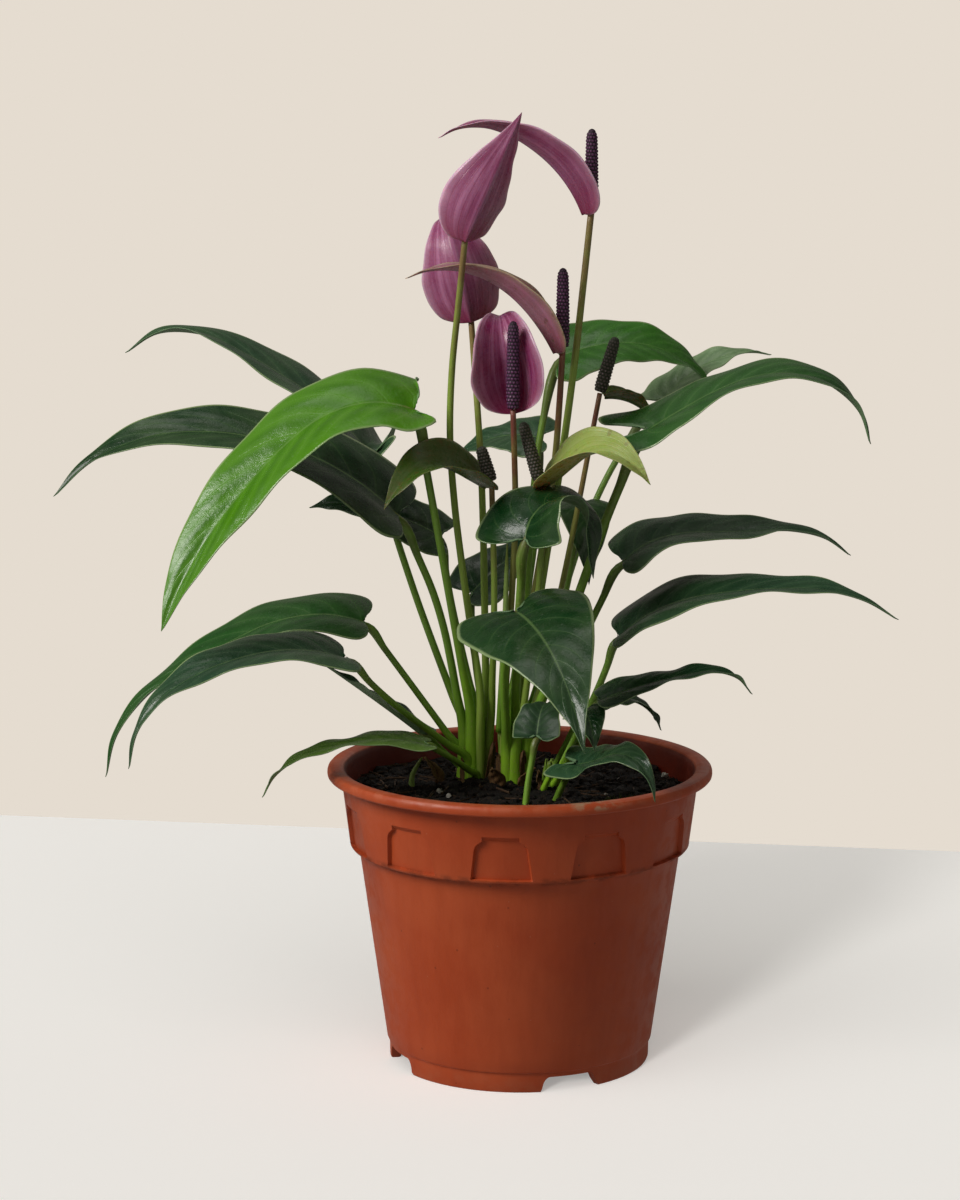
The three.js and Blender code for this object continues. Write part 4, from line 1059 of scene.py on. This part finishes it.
def pot_finish(name, look):
    """Moulded terracotta-coloured plastic: faintly flowed, scuffed at the rim, dusty at the steps, and darkened
    and reddened on the inner face of the wall as painted shade.
    """
    skin = Finish(name, specular_ior_level=0.3)
    tree = skin.tree
    mottle = use(tree, "Mottle", Vector=skin.here, Scale=26.0)
    tall = put(tree, "ShaderNodeMapping", {"Vector": skin.here, "Scale": (1.0, 1.0, 0.12)}).outputs[0]
    flow = ramp(tree, speckle(tree, tall, 170.0, 4.0, 0.6), 0.35, 0.7)
    skin.colour = blend_colour(tree, mottle["Cloud"], look.plastic, look.plastic_light)
    skin.cover(flow, 0.22, look.plastic_dark)
    skin.cover(mottle["Blotch"], 0.14, look.plastic_light)
    wear = use(tree, "Broken Band", Vector=skin.here, Height=POT_HEIGHT, Width=3.2 * MM, Breakup=210.0)["Mask"]
    skin.cover(wear, 0.14, RIM_WEAR)
    lip = put(tree, "ShaderNodeVectorMath", {0: skin.here, 1: (AXIS.x + 27 * MM, AXIS.y - 68 * MM, POT_HEIGHT)},
              operation="DISTANCE").outputs["Value"]
    scuff = calc(tree, "MULTIPLY", ramp(tree, lip, 4 * MM, 13 * MM, 1.0, 0.0), wear)
    skin.cover(scuff, 0.8, look.scuff)
    soiling = use(tree, "Broken Band", Vector=skin.here, Height=look.collar_z, Width=2.6 * MM,
                  Breakup=120.0)["Mask"]
    skin.cover(soiling, 0.45, look.dirt)
    foot = use(tree, "Broken Band", Vector=skin.here, Height=0.0, Width=9 * MM, Breakup=140.0)["Mask"]
    skin.cover(foot, 0.12, look.dust)
    flecks = use(tree, "Flecks", Vector=skin.here, Scale=150.0, Size=0.05)["Mask"]
    skin.cover(flecks, 0.4, look.dirt)
    pale = use(tree, "Flecks", Vector=skin.here, Scale=230.0, Size=0.045)["Mask"]
    skin.cover(pale, 0.3, look.dust)
    fine = put(tree, "ShaderNodeMapping", {"Vector": skin.here, "Scale": (1.0, 1.0, 0.3),
                                           "Rotation": (0.0, 0.5, 0.2)}).outputs[0]
    scratches = ramp(tree, speckle(tree, fine, 900.0, 2.0), 0.66, 0.72)
    skin.cover(scratches, 0.12, look.plastic_light)
    # Painted shade: the inner face of the wall, found from how far it lies inside the outer face, is given a
    # darker, redder colour as it looks in shade.
    split = put(tree, "ShaderNodeSeparateXYZ", {0: skin.here}).outputs
    away = [calc(tree, "SUBTRACT", split[k], AXIS[k]) for k in (0, 1)]
    square = calc(tree, "MULTIPLY", away[1], away[1])
    reach = calc(tree, "SQRT", calc(tree, "MULTIPLY_ADD", away[0], away[0], square))
    outer = ramp(tree, split[2], look.collar_z, POT_HEIGHT, look.collar_foot, look.collar_top)
    depth = calc(tree, "SUBTRACT", outer, reach)
    deeper = ramp(tree, split[2], look.window_top, look.window_top + 2 * MM, 0.9 * MM, 0.0)
    depth = calc(tree, "SUBTRACT", depth, deeper)
    above = ramp(tree, split[2], 90 * MM, 95 * MM)
    inner = calc(tree, "MULTIPLY", ramp(tree, depth, 1.0 * MM, 1.4 * MM), above)
    skin.cover(inner, 0.85, look.inner)
    skin.feed("Base Color", skin.colour)
    rough = ramp(tree, mottle["Blotch"], 0.0, 1.0, look.sheen_low, look.sheen_high)
    skin.feed("Roughness", calc(tree, "MULTIPLY_ADD", soiling, 0.2, rough))
    skin.relief(calc(tree, "MULTIPLY_ADD", flow, 0.3, mottle["Grain"]), 0.1 * MM, 0.5)
    return skin.material


def soil_finish(name, deep, light, fibre):
    """Moist peat: dark, crumbly and full of brown fibres."""
    skin = Finish(name, specular_ior_level=0.25)
    tree = skin.tree
    mottle = use(tree, "Mottle", Vector=skin.here, Scale=130.0)
    stretched = put(tree, "ShaderNodeMapping", {"Vector": skin.here, "Rotation": (0.3, 0.2, 0.9),
                                                "Scale": (1.0, 0.2, 1.0)}).outputs[0]
    fibres = ramp(tree, speckle(tree, stretched, 1500.0, 3.0), 0.56, 0.66)
    skin.colour = blend_colour(tree, mottle["Cloud"], deep, light)
    skin.cover(fibres, 0.6, fibre)
    skin.feed("Base Color", skin.colour)
    skin.feed("Roughness", ramp(tree, mottle["Cloud"], 0.0, 1.0, 0.8, 0.97))
    skin.relief(calc(tree, "ADD", mottle["Blotch"], mottle["Grain"]), 0.5 * MM, 1.0)
    return skin.material


def stage_material(name):
    material = bpy.data.materials.new(name)
    material.use_nodes = True
    material.node_tree.nodes.clear()
    return material, material.node_tree


def floor_finish(name, shade, glow, dim):
    """The pale floor: it looks evenly lit, and throws only a little light back at the plant."""
    material, tree = stage_material(name)
    seen = put(tree, "ShaderNodeLightPath").outputs["Is Camera Ray"]
    bright = put(tree, "ShaderNodeEmission", {"Color": (*shade, 1), "Strength": glow})
    lit = put(tree, "ShaderNodeBsdfDiffuse", {"Color": (*shade, 1)})
    both = put(tree, "ShaderNodeAddShader", {0: bright.outputs[0], 1: lit.outputs[0]})
    dull = put(tree, "ShaderNodeBsdfDiffuse", {"Color": tuple(c * dim for c in shade) + (1,)})
    mix = put(tree, "ShaderNodeMixShader", {0: seen, 1: dull.outputs[0], 2: both.outputs[0]})
    put(tree, "ShaderNodeOutputMaterial", {0: mix.outputs[0]})
    return material


def wall_finish(name, shade, dim):
    """An evenly lit wall that shows from the front only and hardly lights the plant."""
    material, tree = stage_material(name)
    path = put(tree, "ShaderNodeLightPath").outputs
    back = put(tree, "ShaderNodeNewGeometry").outputs["Backfacing"]
    strength = ramp(tree, path["Is Camera Ray"], 0.0, 1.0, dim, 1.0)
    light = put(tree, "ShaderNodeEmission", {"Color": (*shade, 1), "Strength": strength})
    clear = put(tree, "ShaderNodeBsdfTransparent")
    mix = put(tree, "ShaderNodeMixShader", {0: back, 1: light.outputs[0], 2: clear.outputs[0]})
    put(tree, "ShaderNodeOutputMaterial", {0: mix.outputs[0]})
    return material


def room_finish(shade, dim):
    """The room: pale to look at, and dim where it lights the plant."""
    world = bpy.data.worlds.new("soft_room")
    world.use_nodes = True
    tree = world.node_tree
    path = put(tree, "ShaderNodeLightPath").outputs
    soft = ramp(tree, path["Is Glossy Ray"], 0.0, 1.0, dim, 0.5)
    strength = calc(tree, "MULTIPLY_ADD", path["Is Camera Ray"], calc(tree, "SUBTRACT", 1.0, soft), soft)
    tree.links.new(strength, tree.nodes["Background"].inputs[1])
    tree.nodes["Background"].inputs[0].default_value = (*shade, 1)
    return world


def direction(bearing, height):
    """The way to a point at a bearing and a height over the ground, both in degrees."""
    b, h = math.radians(bearing), math.radians(height)
    return Vector((math.cos(b) * math.cos(h), math.sin(b) * math.cos(h), math.sin(h)))


def shine(name, kind, place, way, receivers, **settings):
    """A light at a place that shines one way, on the receivers only."""
    data = bpy.data.lights.new(name, kind)
    for key, value in settings.items():
        setattr(data, key, value)
    light = bpy.data.objects.new(name, data)
    light.location = place
    light.rotation_euler = way.to_track_quat("-Z", "Y").to_euler()
    bpy.context.collection.objects.link(light)
    light.light_linking.receiver_collection = receivers


# ---------------------------------------------------------------- what a user may change

def size_of(name, note, default, low=0.0, high=1.0):
    return bpy.props.FloatProperty(name=name, description=note, default=default, min=low, max=high,
                                   unit="LENGTH", precision=5)


def part_of(name, note, default, low=0.0, high=1.0):
    return bpy.props.FloatProperty(name=name, description=note, default=default, min=low, max=high,
                                   subtype="FACTOR")


def tint_of(name, note, code):
    return bpy.props.FloatVectorProperty(name=name, description=note, default=colour(code), size=3,
                                         min=0.0, max=1.0, subtype="COLOR")


def number_of(name, note, default, low=1, high=4000):
    return bpy.props.IntProperty(name=name, description=note, default=default, min=low, max=high)


def amount_of(name, note, default):
    return bpy.props.FloatProperty(name=name, description=note, default=default)


def power_of(name, note, default):
    return bpy.props.FloatProperty(name=name, description=note, default=default, unit="POWER")


def angle_of(name, note, default):
    return bpy.props.FloatProperty(name=name, description=note, default=default, unit="ROTATION")


class LeafLook(bpy.types.PropertyGroup):
    """Sizes and colours of the leaves and of their stalks."""
    leaf_thickness: size_of("Leaf thickness", "Thickness of a leaf at its midrib", 1.5 * MM)
    vein_count: amount_of("Side veins", "Side veins along the midrib", 10.0)
    vein_slant: part_of("Vein slant", "How far a side vein runs forward, as a share of the leaf", 0.2)
    vein_relief: size_of("Vein relief", "Rise of the fields between the side veins", 0.16 * MM)
    midrib_width: size_of("Midrib width", "Half width of the groove over the midrib", 1.3 * MM)
    midrib_depth: size_of("Midrib depth", "Depth of the groove over the midrib", 0.5 * MM)
    margin_wave: size_of("Margin wave", "Height of the waves along the margin", 0.7 * MM)
    foot_swell: part_of("Foot swell", "How much thicker a stalk is at its sheathing foot", 0.7)
    gloss_low: part_of("Least roughness", "Roughness of the glossiest patches of a leaf", 0.22)
    gloss_high: part_of("Most roughness", "Roughness of the dullest patches of a leaf", 0.34)
    dullness: part_of("Dullness", "How much rougher the small dull leaf is", 0.3)
    dark: tint_of("Dark green", "Most leaves", "0b3315")
    bright: tint_of("Bright green", "The glossy young leaf on the left", "478004")
    fresh: tint_of("Fresh green", "The young leaf at the top right", "2c6a10")
    mid: tint_of("Middle green", "Leaves between dark and fresh", "184c17")
    grey: tint_of("Grey green", "Leaves in the middle of the plant", "1c4029")
    # Painted sheen: this green is greyed to stand in for the light that sheens on these leaves' upper faces.
    slate: tint_of("Slate green", "Outer leaves with a grey sheen", "284831")
    shade: tint_of("Shaded green", "The small dull leaf low at the front", "0c3216")
    olive: tint_of("Olive green", "Old low leaves", "5c7d30")
    pale: tint_of("Pale green", "The pale leaf at the back right", "7d9a70")
    underside: tint_of("Underside", "Underside of the leaves", "6f9066")
    vein: tint_of("Vein", "Veins and midrib", "7fa05e")
    margin: tint_of("Margin", "The thin edge of a leaf", "9db37c")
    stalk_foot: tint_of("Stalk foot", "Sheathing foot of the leaf stalks", "8fc02c")
    stalk: tint_of("Stalk", "Middle of the leaf stalks", "76a034")
    stalk_top: tint_of("Stalk top", "Top of the leaf stalks", "6f7038")


class FlowerLook(bpy.types.PropertyGroup):
    """Sizes and colours of the flowers."""
    spathe_thickness: size_of("Spathe thickness", "Thickness of a spathe at its middle", 1.1 * MM)
    vein_count: amount_of("Side veins", "Faint cross veins of a spathe", 5.0)
    vein_slant: part_of("Vein slant", "How far a cross vein runs forward", 0.4)
    vein_relief: size_of("Vein relief", "Rise of the fields between the veins", 0.1 * MM)
    midrib_width: size_of("Midrib width", "Half width of the groove over the middle", 1.0 * MM)
    midrib_depth: size_of("Midrib depth", "Depth of the groove over the middle", 0.35 * MM)
    margin_wave: size_of("Margin wave", "Height of the waves along the margin", 0.35 * MM)
    foot_swell: part_of("Foot swell", "How much thicker a stalk is at its foot", 0.5)
    floret_columns: number_of("Florets round", "Florets round a spadix", 11, 5, 40)
    floret_pitch: size_of("Floret pitch", "Distance between rows of florets", 1.3 * MM)
    floret_relief: size_of("Floret relief", "How far a floret stands out", 0.42 * MM)
    pink: tint_of("Pink", "Face of the pink spathes", "7a2453")
    pink_pale: tint_of("Pale pink", "Streaks of the pink spathes", "dc9dc4")
    pink_heel: tint_of("Red heel", "Heel of the pink spathes", "861a3e")
    pink_margin: tint_of("Pink margin", "Margin of the pink spathes", "e0b4cc")
    dusky: tint_of("Dusky pink", "Face of the brownish pink spathe", "94606a")
    lime: tint_of("Yellow green", "Face of the ageing spathe at the front", "8fa448")
    olive: tint_of("Olive", "Face of the old spathes", "3a5a14")
    stain: tint_of("Stain", "Brown stains on the old spathes", "5c4a20")
    spadix: tint_of("Spadix", "Florets of a spadix", "5c2d55")
    spadix_deep: tint_of("Spadix gaps", "Between the florets", "1c0d1b")
    speck: tint_of("Speck", "Pale specks on the florets", "cfb3c4")
    green_stalk: tint_of("Green stalk", "Stalks of most flowers", "92ae48")
    red_stalk: tint_of("Red stalk", "Tops of the flower stalks", "80473c")


class PotLook(bpy.types.PropertyGroup):
    """Sizes and colours of the pot."""
    wall: size_of("Wall", "Thickness of the pot's wall", 2 * MM)
    floor: size_of("Floor", "Height of the underside of the floor", 8 * MM)
    foot_radius: size_of("Foot ring radius", "Outside radius of the foot ring", 51 * MM)
    body_foot: size_of("Body foot radius", "Outside radius at the floor", 52 * MM)
    body_top: size_of("Body top radius", "Outside radius just under the collar", 62.6 * MM)
    collar_foot: size_of("Collar foot radius", "Outside radius at the collar's step", 66.2 * MM)
    collar_top: size_of("Collar top radius", "Outside radius just under the rim", 69.6 * MM)
    collar_z: size_of("Collar height", "Height of the collar's step", 86 * MM)
    rim_depth: size_of("Rim depth", "Height of the rolled rim", 4 * MM)
    windows: number_of("Windows", "Recesses round the collar", 11, 3, 40)
    window_turn: angle_of("Window turn", "Bearing of the first recess from the front", math.radians(-6.6))
    window_foot: size_of("Window foot", "Height of a recess's lower edge", 86.9 * MM)
    window_top: size_of("Window top", "Height of a recess's upper edge", 102 * MM)
    window_foot_width: size_of("Window foot width", "Width of a recess at its lower edge", 22.4 * MM)
    window_top_width: size_of("Window top width", "Width of a recess at its upper edge", 14.6 * MM)
    window_chamfer: size_of("Window chamfer", "Height of a recess's cut-off upper corners", 4.8 * MM)
    window_depth: size_of("Window depth", "Depth of a recess", 1.6 * MM)
    notches: number_of("Notches", "Notches in the foot ring", 4, 2, 12)
    notch_turn: angle_of("Notch turn", "Bearing of the first notch from the front", math.radians(22))
    notch_width: size_of("Notch width", "Width of a notch", 23 * MM)
    notch_height: size_of("Notch height", "Height of a notch", 6 * MM)
    notch_corner: size_of("Notch corner", "Radius of a notch's upper corners", 3.4 * MM)
    drain_radius: size_of("Drain radius", "Radius of a drain hole", 5 * MM)
    drain_circle: size_of("Drain circle", "Distance of the drain holes from the axis", 36 * MM)
    plastic: tint_of("Plastic", "The pot's colour", "ac4520")
    plastic_light: tint_of("Plastic, light", "Where the pot is palest", "b5502a")
    plastic_dark: tint_of("Plastic, dark", "Where the pot is darkest", "903413")
    dirt: tint_of("Dirt", "Dried soil on the steps", "3a2014")
    scuff: tint_of("Scuff", "The scuffed place on the lip", "a08a6c")
    # Painted shade: the colour of the inner face of the wall as it looks in shade.
    inner: tint_of("Inner face", "The inner face of the wall", "5c1208")
    dust: tint_of("Dust", "Pale dust at the foot", "b27a5c")
    sheen_low: part_of("Least roughness", "Roughness of the smoothest patches", 0.38)
    sheen_high: part_of("Most roughness", "Roughness of the dullest patches", 0.55)


class SoilLook(bpy.types.PropertyGroup):
    """What lies on the soil and at the foot of the plant."""
    crumbs: number_of("Crumbs", "Crumbs of peat", 1500)
    clods: number_of("Clods", "Larger clods of peat", 170)
    grains: number_of("Grains", "White grains of perlite", 26)
    fibres: number_of("Fibres", "Short brown fibres", 190)
    moss: number_of("Moss", "Blades of moss", 380)
    sheaths: number_of("Sheaths", "Sheaths round each crown", 12, 3, 40)
    peat: tint_of("Peat", "Darkest peat", "0b0807")
    peat_light: tint_of("Light peat", "Drier peat", "1b1410")
    fibre: tint_of("Fibre", "Fibres in the peat", "4a3522")
    grain: tint_of("Grain", "White grains", "d9d4c8")
    moss_green: tint_of("Moss green", "Moss on the right", "4a5824")
    papery: tint_of("Papery brown", "Dry sheaths and scale leaves", "7c5c38")
    sheath: tint_of("Sheath green", "Living sheaths", "6f9a2c")


class StageLook(bpy.types.PropertyGroup):
    """The floor, the wall, the lights and the camera."""
    floor: tint_of("Floor", "Colour of the floor", "e4e2de")
    wall: tint_of("Wall", "Colour of the wall", "e5dcd0")
    key: power_of("Key light", "Power of the main light", 34.0)
    fill: power_of("Fill light", "Power of the fill light", 0.8)
    top: power_of("Top light", "Power of the light from above", 5.0)
    back: power_of("Back light", "Power of the light from behind", 5.0)
    sky: part_of("Sky", "Strength of the light from all round", 0.14)
    floor_glow: part_of("Floor glow", "How bright the floor looks without any light on it", 0.4)
    floor_sun: amount_of("Floor sun", "Light that throws the shadow", 1.9)
    floor_haze: amount_of("Floor haze", "Soft light on the floor", 1.5)
    floor_bounce: part_of("Floor bounce", "How much light the floor throws back", 0.6)
    wall_light: part_of("Wall light", "How much light the wall gives the plant", 0.2)
    lens: bpy.props.FloatProperty(name="Lens", description="Focal length", default=94.46, unit="CAMERA")
    tilt: angle_of("Tilt", "How far the camera looks down", 0.168)


class AnthuriumLook(bpy.types.PropertyGroup):
    """All the plant's settings."""
    leaves: bpy.props.PointerProperty(type=LeafLook, name="Leaves")
    flowers: bpy.props.PointerProperty(type=FlowerLook, name="Flowers")
    pot: bpy.props.PointerProperty(type=PotLook, name="Pot")
    soil: bpy.props.PointerProperty(type=SoilLook, name="Soil")
    stage: bpy.props.PointerProperty(type=StageLook, name="Stage")


def look_of(context):
    return context.scene.anthurium


def mixed(first, second, amount):
    return tuple(a * (1 - amount) + b * amount for a, b in zip(first, second))


# ---------------------------------------------------------------- operators

class ANTHURIUM_OT_leaves(bpy.types.Operator):
    """Grow the leaves on their stalks."""
    bl_idname = "anthurium.leaves"
    bl_label = "Grow Leaves"

    def execute(self, context):
        look = look_of(context).leaves
        skins = {}
        for kind in ("dark", "bright", "fresh", "mid", "grey", "slate", "shade", "olive", "pale"):
            base = tuple(getattr(look, kind))
            glad = mixed(base, look.vein, 0.1)
            skins[kind + "_upper"] = leaf_upper(kind + "_leaf_face", base, glad, mixed(base, look.vein, 0.75),
                                                mixed(base, look.margin, 0.8), look,
                                                look.dullness if kind == "shade" else 0.0)
            pale = mixed(look.underside, base, 0.25)
            skins[kind + "_under"] = leaf_under(kind + "_leaf_back", pale, mixed(pale, base, 0.3),
                                                mixed(pale, look.margin, 0.5), look)
            top = mixed(look.stalk_top, base, 0.35)
            skins[kind + "_petiole"] = stem_finish(kind + "_leaf_stalk", look.stalk_foot, look.stalk, top, look)
        for node in LEAVES:
            leaf = grow_leaf(node, look, skins)
            slot = "leaf_bright" if LEAF_KINDS.get(node) in ("bright", "fresh") else "leaf_dark"
            finished(leaf, slot, node)
        return {"FINISHED"}


class ANTHURIUM_OT_flowers(bpy.types.Operator):
    """Grow the flowers: stalk, spathe and spadix."""
    bl_idname = "anthurium.flowers"
    bl_label = "Grow Flowers"

    def execute(self, context):
        look = look_of(context).flowers
        skins = {}
        for kind in ("pink", "dusky", "lime", "olive"):
            face = tuple(getattr(look, kind))
            if kind in PINKISH:
                pale, heel = mixed(face, look.pink_pale, 0.6), look.pink_heel
            else:
                pale, heel = mixed(face, AGED_LIGHT, STREAK_SHARE[kind]), mixed(face, look.stain, 0.5)
            margin = look.pink_margin if kind == "pink" else mixed(face, AGED_MARGIN, MARGIN_SHARE[kind])
            dark = None if kind == "pink" else tuple(look.stain)
            skins[kind + "_inner"] = spathe_finish(kind + "_spathe_face", face, pale, heel, margin, look, dark)
            skins[kind + "_outer"] = spathe_finish(kind + "_spathe_back", mixed(face, pale, 0.16), pale, heel,
                                                   margin, look, dark)
        green, red = tuple(look.green_stalk), tuple(look.red_stalk)
        skins["green_stalk"] = stem_finish("green_flower_stalk", green, green, mixed(green, red, 0.75), look)
        skins["red_stalk"] = stem_finish("red_flower_stalk", green, mixed(green, red, 0.45), red, look)
        aged = mixed(green, look.olive, 0.6)
        skins["olive_stalk"] = stem_finish("olive_flower_stalk", green, green, aged, look)
        purple = spadix_finish("purple_spadix", look.spadix_deep, look.spadix, look.speck)
        olive = spadix_finish("olive_spadix", mixed(look.spadix_deep, look.olive, 0.2),
                              mixed(look.spadix, look.olive, 0.45), look.speck)
        for flower in FLOWERS:
            stem = grow_flower_stalk(flower + "_stalk", look, skins, STALK_KINDS.get(flower, "green"))
            finished(stem, "flower_stalk", flower + "_stalk")
            kind = SPATHE_KINDS.get(flower, "pink")
            finished(grow_spathe(flower + "_spathe", flower, look, skins),
                     "spathe_pink" if kind in PINKISH else "spathe_olive", flower + "_spathe")
            finished(grow_spadix(flower + "_spadix", look, purple if kind in PINKISH else olive),
                     "spadix", flower + "_spadix")
        return {"FINISHED"}


class ANTHURIUM_OT_crowns(bpy.types.Operator):
    """Grow the crowns, the dry scale leaves and the young shoots."""
    bl_idname = "anthurium.crowns"
    bl_label = "Grow Crowns"

    def execute(self, context):
        look = look_of(context).soil
        skins = {"papery": papery_finish("dry_sheath", look.papery, mixed(look.papery, look.peat, 0.6)),
                 "sheath": stem_finish("green_sheath", mixed(look.sheath, look.papery, 0.6), look.sheath,
                                       mixed(look.sheath, look.papery, 0.35), look)}
        for node in CROWNS:
            finished(grow_tuft(node, look, skins), "crown_stem", node)
        for node in SCALES:
            finished(grow_scale(node, look, skins["papery"]), "dry_scale", node)
        young = stem_finish("young_shoot_skin", look.sheath, mixed(look.sheath, (0.6, 0.7, 0.3), 0.3),
                            mixed(look.sheath, look.papery, 0.4), look)
        for node in SHOOTS:
            finished(grow_shoot(node, young), "young_shoot", node)
        return {"FINISHED"}


class ANTHURIUM_OT_pot(bpy.types.Operator):
    """Mould the nursery pot."""
    bl_idname = "anthurium.pot"
    bl_label = "Mould Pot"

    def execute(self, context):
        look = look_of(context).pot
        finished(mould_pot(look, [pot_finish("terracotta_plastic", look)]), "pot_plastic", "pot")
        return {"FINISHED"}


class ANTHURIUM_OT_soil(bpy.types.Operator):
    """Lay the potting soil with its crumbs, grains, fibres and moss."""
    bl_idname = "anthurium.soil"
    bl_label = "Lay Soil"

    def execute(self, context):
        look, pot = look_of(context).soil, look_of(context).pot
        peat = soil_finish("moist_peat", look.peat, look.peat_light, look.fibre)
        finished(lay_soil(pot, peat), "potting_soil", "soil")
        rng = seeded("loose bits")
        radius = SOIL_RADIUS
        places = strewn(rng, radius, look.crumbs, (0.5 * MM, 1.9 * MM), 0.7)
        crumbs = scatter("soil_crumbs", crumb("crumb", 1), places, peat)
        places = strewn(rng, radius, look.clods, (1.8 * MM, 4.2 * MM), 0.6, sink=0.45)
        clods = scatter("soil_clods", crumb("clod", 2), places, peat)
        white = soil_finish("perlite", mixed(look.grain, look.peat, 0.25), look.grain,
                            mixed(look.grain, look.fibre, 0.4))
        places = strewn(rng, radius, look.grains, (0.7 * MM, 1.8 * MM), 0.8, sink=0.05)
        grains = scatter("perlite_grains", crumb("grain", 2), places, white)
        woody = papery_finish("peat_fibre", look.fibre, mixed(look.fibre, look.peat, 0.5))
        deselect()
        bpy.ops.mesh.primitive_cylinder_add(vertices=5, radius=1, depth=2, rotation=(0, math.pi / 2, 0))
        bpy.ops.object.transform_apply()
        places = [p @ Matrix.Diagonal((5.5, 0.3, 0.5, 1))
                  for p in strewn(rng, radius, look.fibres, (0.5 * MM, 1.1 * MM), 0.9, sink=-0.2)]
        fibres = scatter("peat_fibres", bpy.context.object, places, woody)
        deselect()
        bpy.ops.mesh.primitive_cone_add(vertices=4, radius1=1, radius2=0.1, depth=2, location=(0, 0, 1))
        bpy.ops.object.transform_apply()
        green = papery_finish("moss_skin", look.moss_green, mixed(look.moss_green, look.peat, 0.4))
        patch = (AXIS.x + MOSS_PATCH[0], AXIS.y + MOSS_PATCH[1])
        places = [p @ Matrix.Rotation(rng.uniform(-0.8, 0.8), 4, "Y") @ Matrix.Diagonal((0.35, 0.35, 2.2, 1))
                  for p in strewn(rng, 15 * MM, look.moss, (0.5 * MM, 1.1 * MM), 1.0, 0.6, patch, sink=0.6)]
        moss = scatter("moss_tufts", bpy.context.object, places, green)
        for piece in (crumbs, clods, grains, fibres, moss):
            finished(piece, "potting_soil")
        return {"FINISHED"}


class ANTHURIUM_OT_stage(bpy.types.Operator):
    """Set the floor, the wall, the lights and the camera."""
    bl_idname = "anthurium.stage"
    bl_label = "Set Stage"

    def execute(self, context):
        look = look_of(context).stage
        scene = context.scene
        scene.view_settings.view_transform = "Standard"
        deselect()
        bpy.ops.mesh.primitive_plane_add(size=9, location=(AXIS.x, AXIS.y, 0))
        floor = bpy.context.object
        floor.name = "stage_floor"
        floor.data.materials.append(
            floor_finish("pale_floor", tuple(look.floor), look.floor_glow, look.floor_bounce))
        bpy.ops.mesh.primitive_plane_add(size=1, location=(AXIS.x, AXIS.y + 0.358, 1.2),
                                         rotation=(math.pi / 2, 0, -math.radians(9)))
        wall = bpy.context.object
        wall.name = "stage_wall"
        wall.scale = (4, 2.4, 1)
        wall.visible_shadow = False
        wall.data.materials.append(wall_finish("pale_wall", tuple(look.wall), look.wall_light))
        scene.world = room_finish(tuple(look.wall), look.sky)
        middle = AXIS + Vector((0, 0, AIM_HEIGHT))
        ground, others = bpy.data.collections.new("lit_floor"), bpy.data.collections.new("unlit_floor")
        ground.objects.link(floor)
        others.objects.link(floor)
        others.collection_objects[0].light_linking.link_state = "EXCLUDE"
        for name, (bearing, height, far, size) in AREA_LIGHTS.items():
            way = direction(bearing, height)
            shine(name, "AREA", middle + far * way, -way, others, size=size, energy=getattr(look, name),
                  color=AREA_TINT)
        for name, (height, breadth) in FLOOR_SUNS.items():
            shine(name, "SUN", Vector(), -direction(SUN_BEARING, height), ground, angle=math.radians(breadth),
                  energy=getattr(look, name), color=SUN_TINT)
        data = bpy.data.cameras.new("camera")
        data.lens, data.sensor_width, data.clip_start = look.lens, SENSOR_WIDTH, NEAREST_SEEN
        camera = bpy.data.objects.new("camera", data)
        camera.location = AXIS + Vector(CAMERA_PLACE) * MM
        camera.rotation_euler = (math.pi / 2 - look.tilt, 0, 0)
        context.collection.objects.link(camera)
        scene.camera = camera
        return {"FINISHED"}


STEPS = (ANTHURIUM_OT_stage, ANTHURIUM_OT_pot, ANTHURIUM_OT_soil, ANTHURIUM_OT_crowns, ANTHURIUM_OT_leaves,
         ANTHURIUM_OT_flowers)


class ANTHURIUM_PT_panel(bpy.types.Panel):
    """The plant's pieces, in the order in which they are made."""
    bl_label = "Potted Anthurium"
    bl_idname = "ANTHURIUM_PT_panel"
    bl_space_type = "VIEW_3D"
    bl_region_type = "UI"
    bl_category = "Anthurium"

    def draw(self, context):
        for step in STEPS:
            self.layout.operator(step.bl_idname)
        for group in (look_of(context).leaves, look_of(context).flowers, look_of(context).pot,
                      look_of(context).soil, look_of(context).stage):
            box = self.layout.box()
            for key in group.__annotations__:
                box.prop(group, key)


CLASSES = (LeafLook, FlowerLook, PotLook, SoilLook, StageLook, AnthuriumLook, *STEPS, ANTHURIUM_PT_panel)


def register():
    for each in CLASSES:
        bpy.utils.register_class(each)
    bpy.types.Scene.anthurium = bpy.props.PointerProperty(type=AnthuriumLook)


def unregister():
    del bpy.types.Scene.anthurium
    for each in reversed(CLASSES):
        bpy.utils.unregister_class(each)


def main():
    register()
    bpy.ops.anthurium.stage()
    bpy.ops.anthurium.pot()
    bpy.ops.anthurium.soil()
    bpy.ops.anthurium.crowns()
    bpy.ops.anthurium.leaves()
    bpy.ops.anthurium.flowers()
    bpy.context.view_layer.update()


if __name__ == "__main__":
    main()
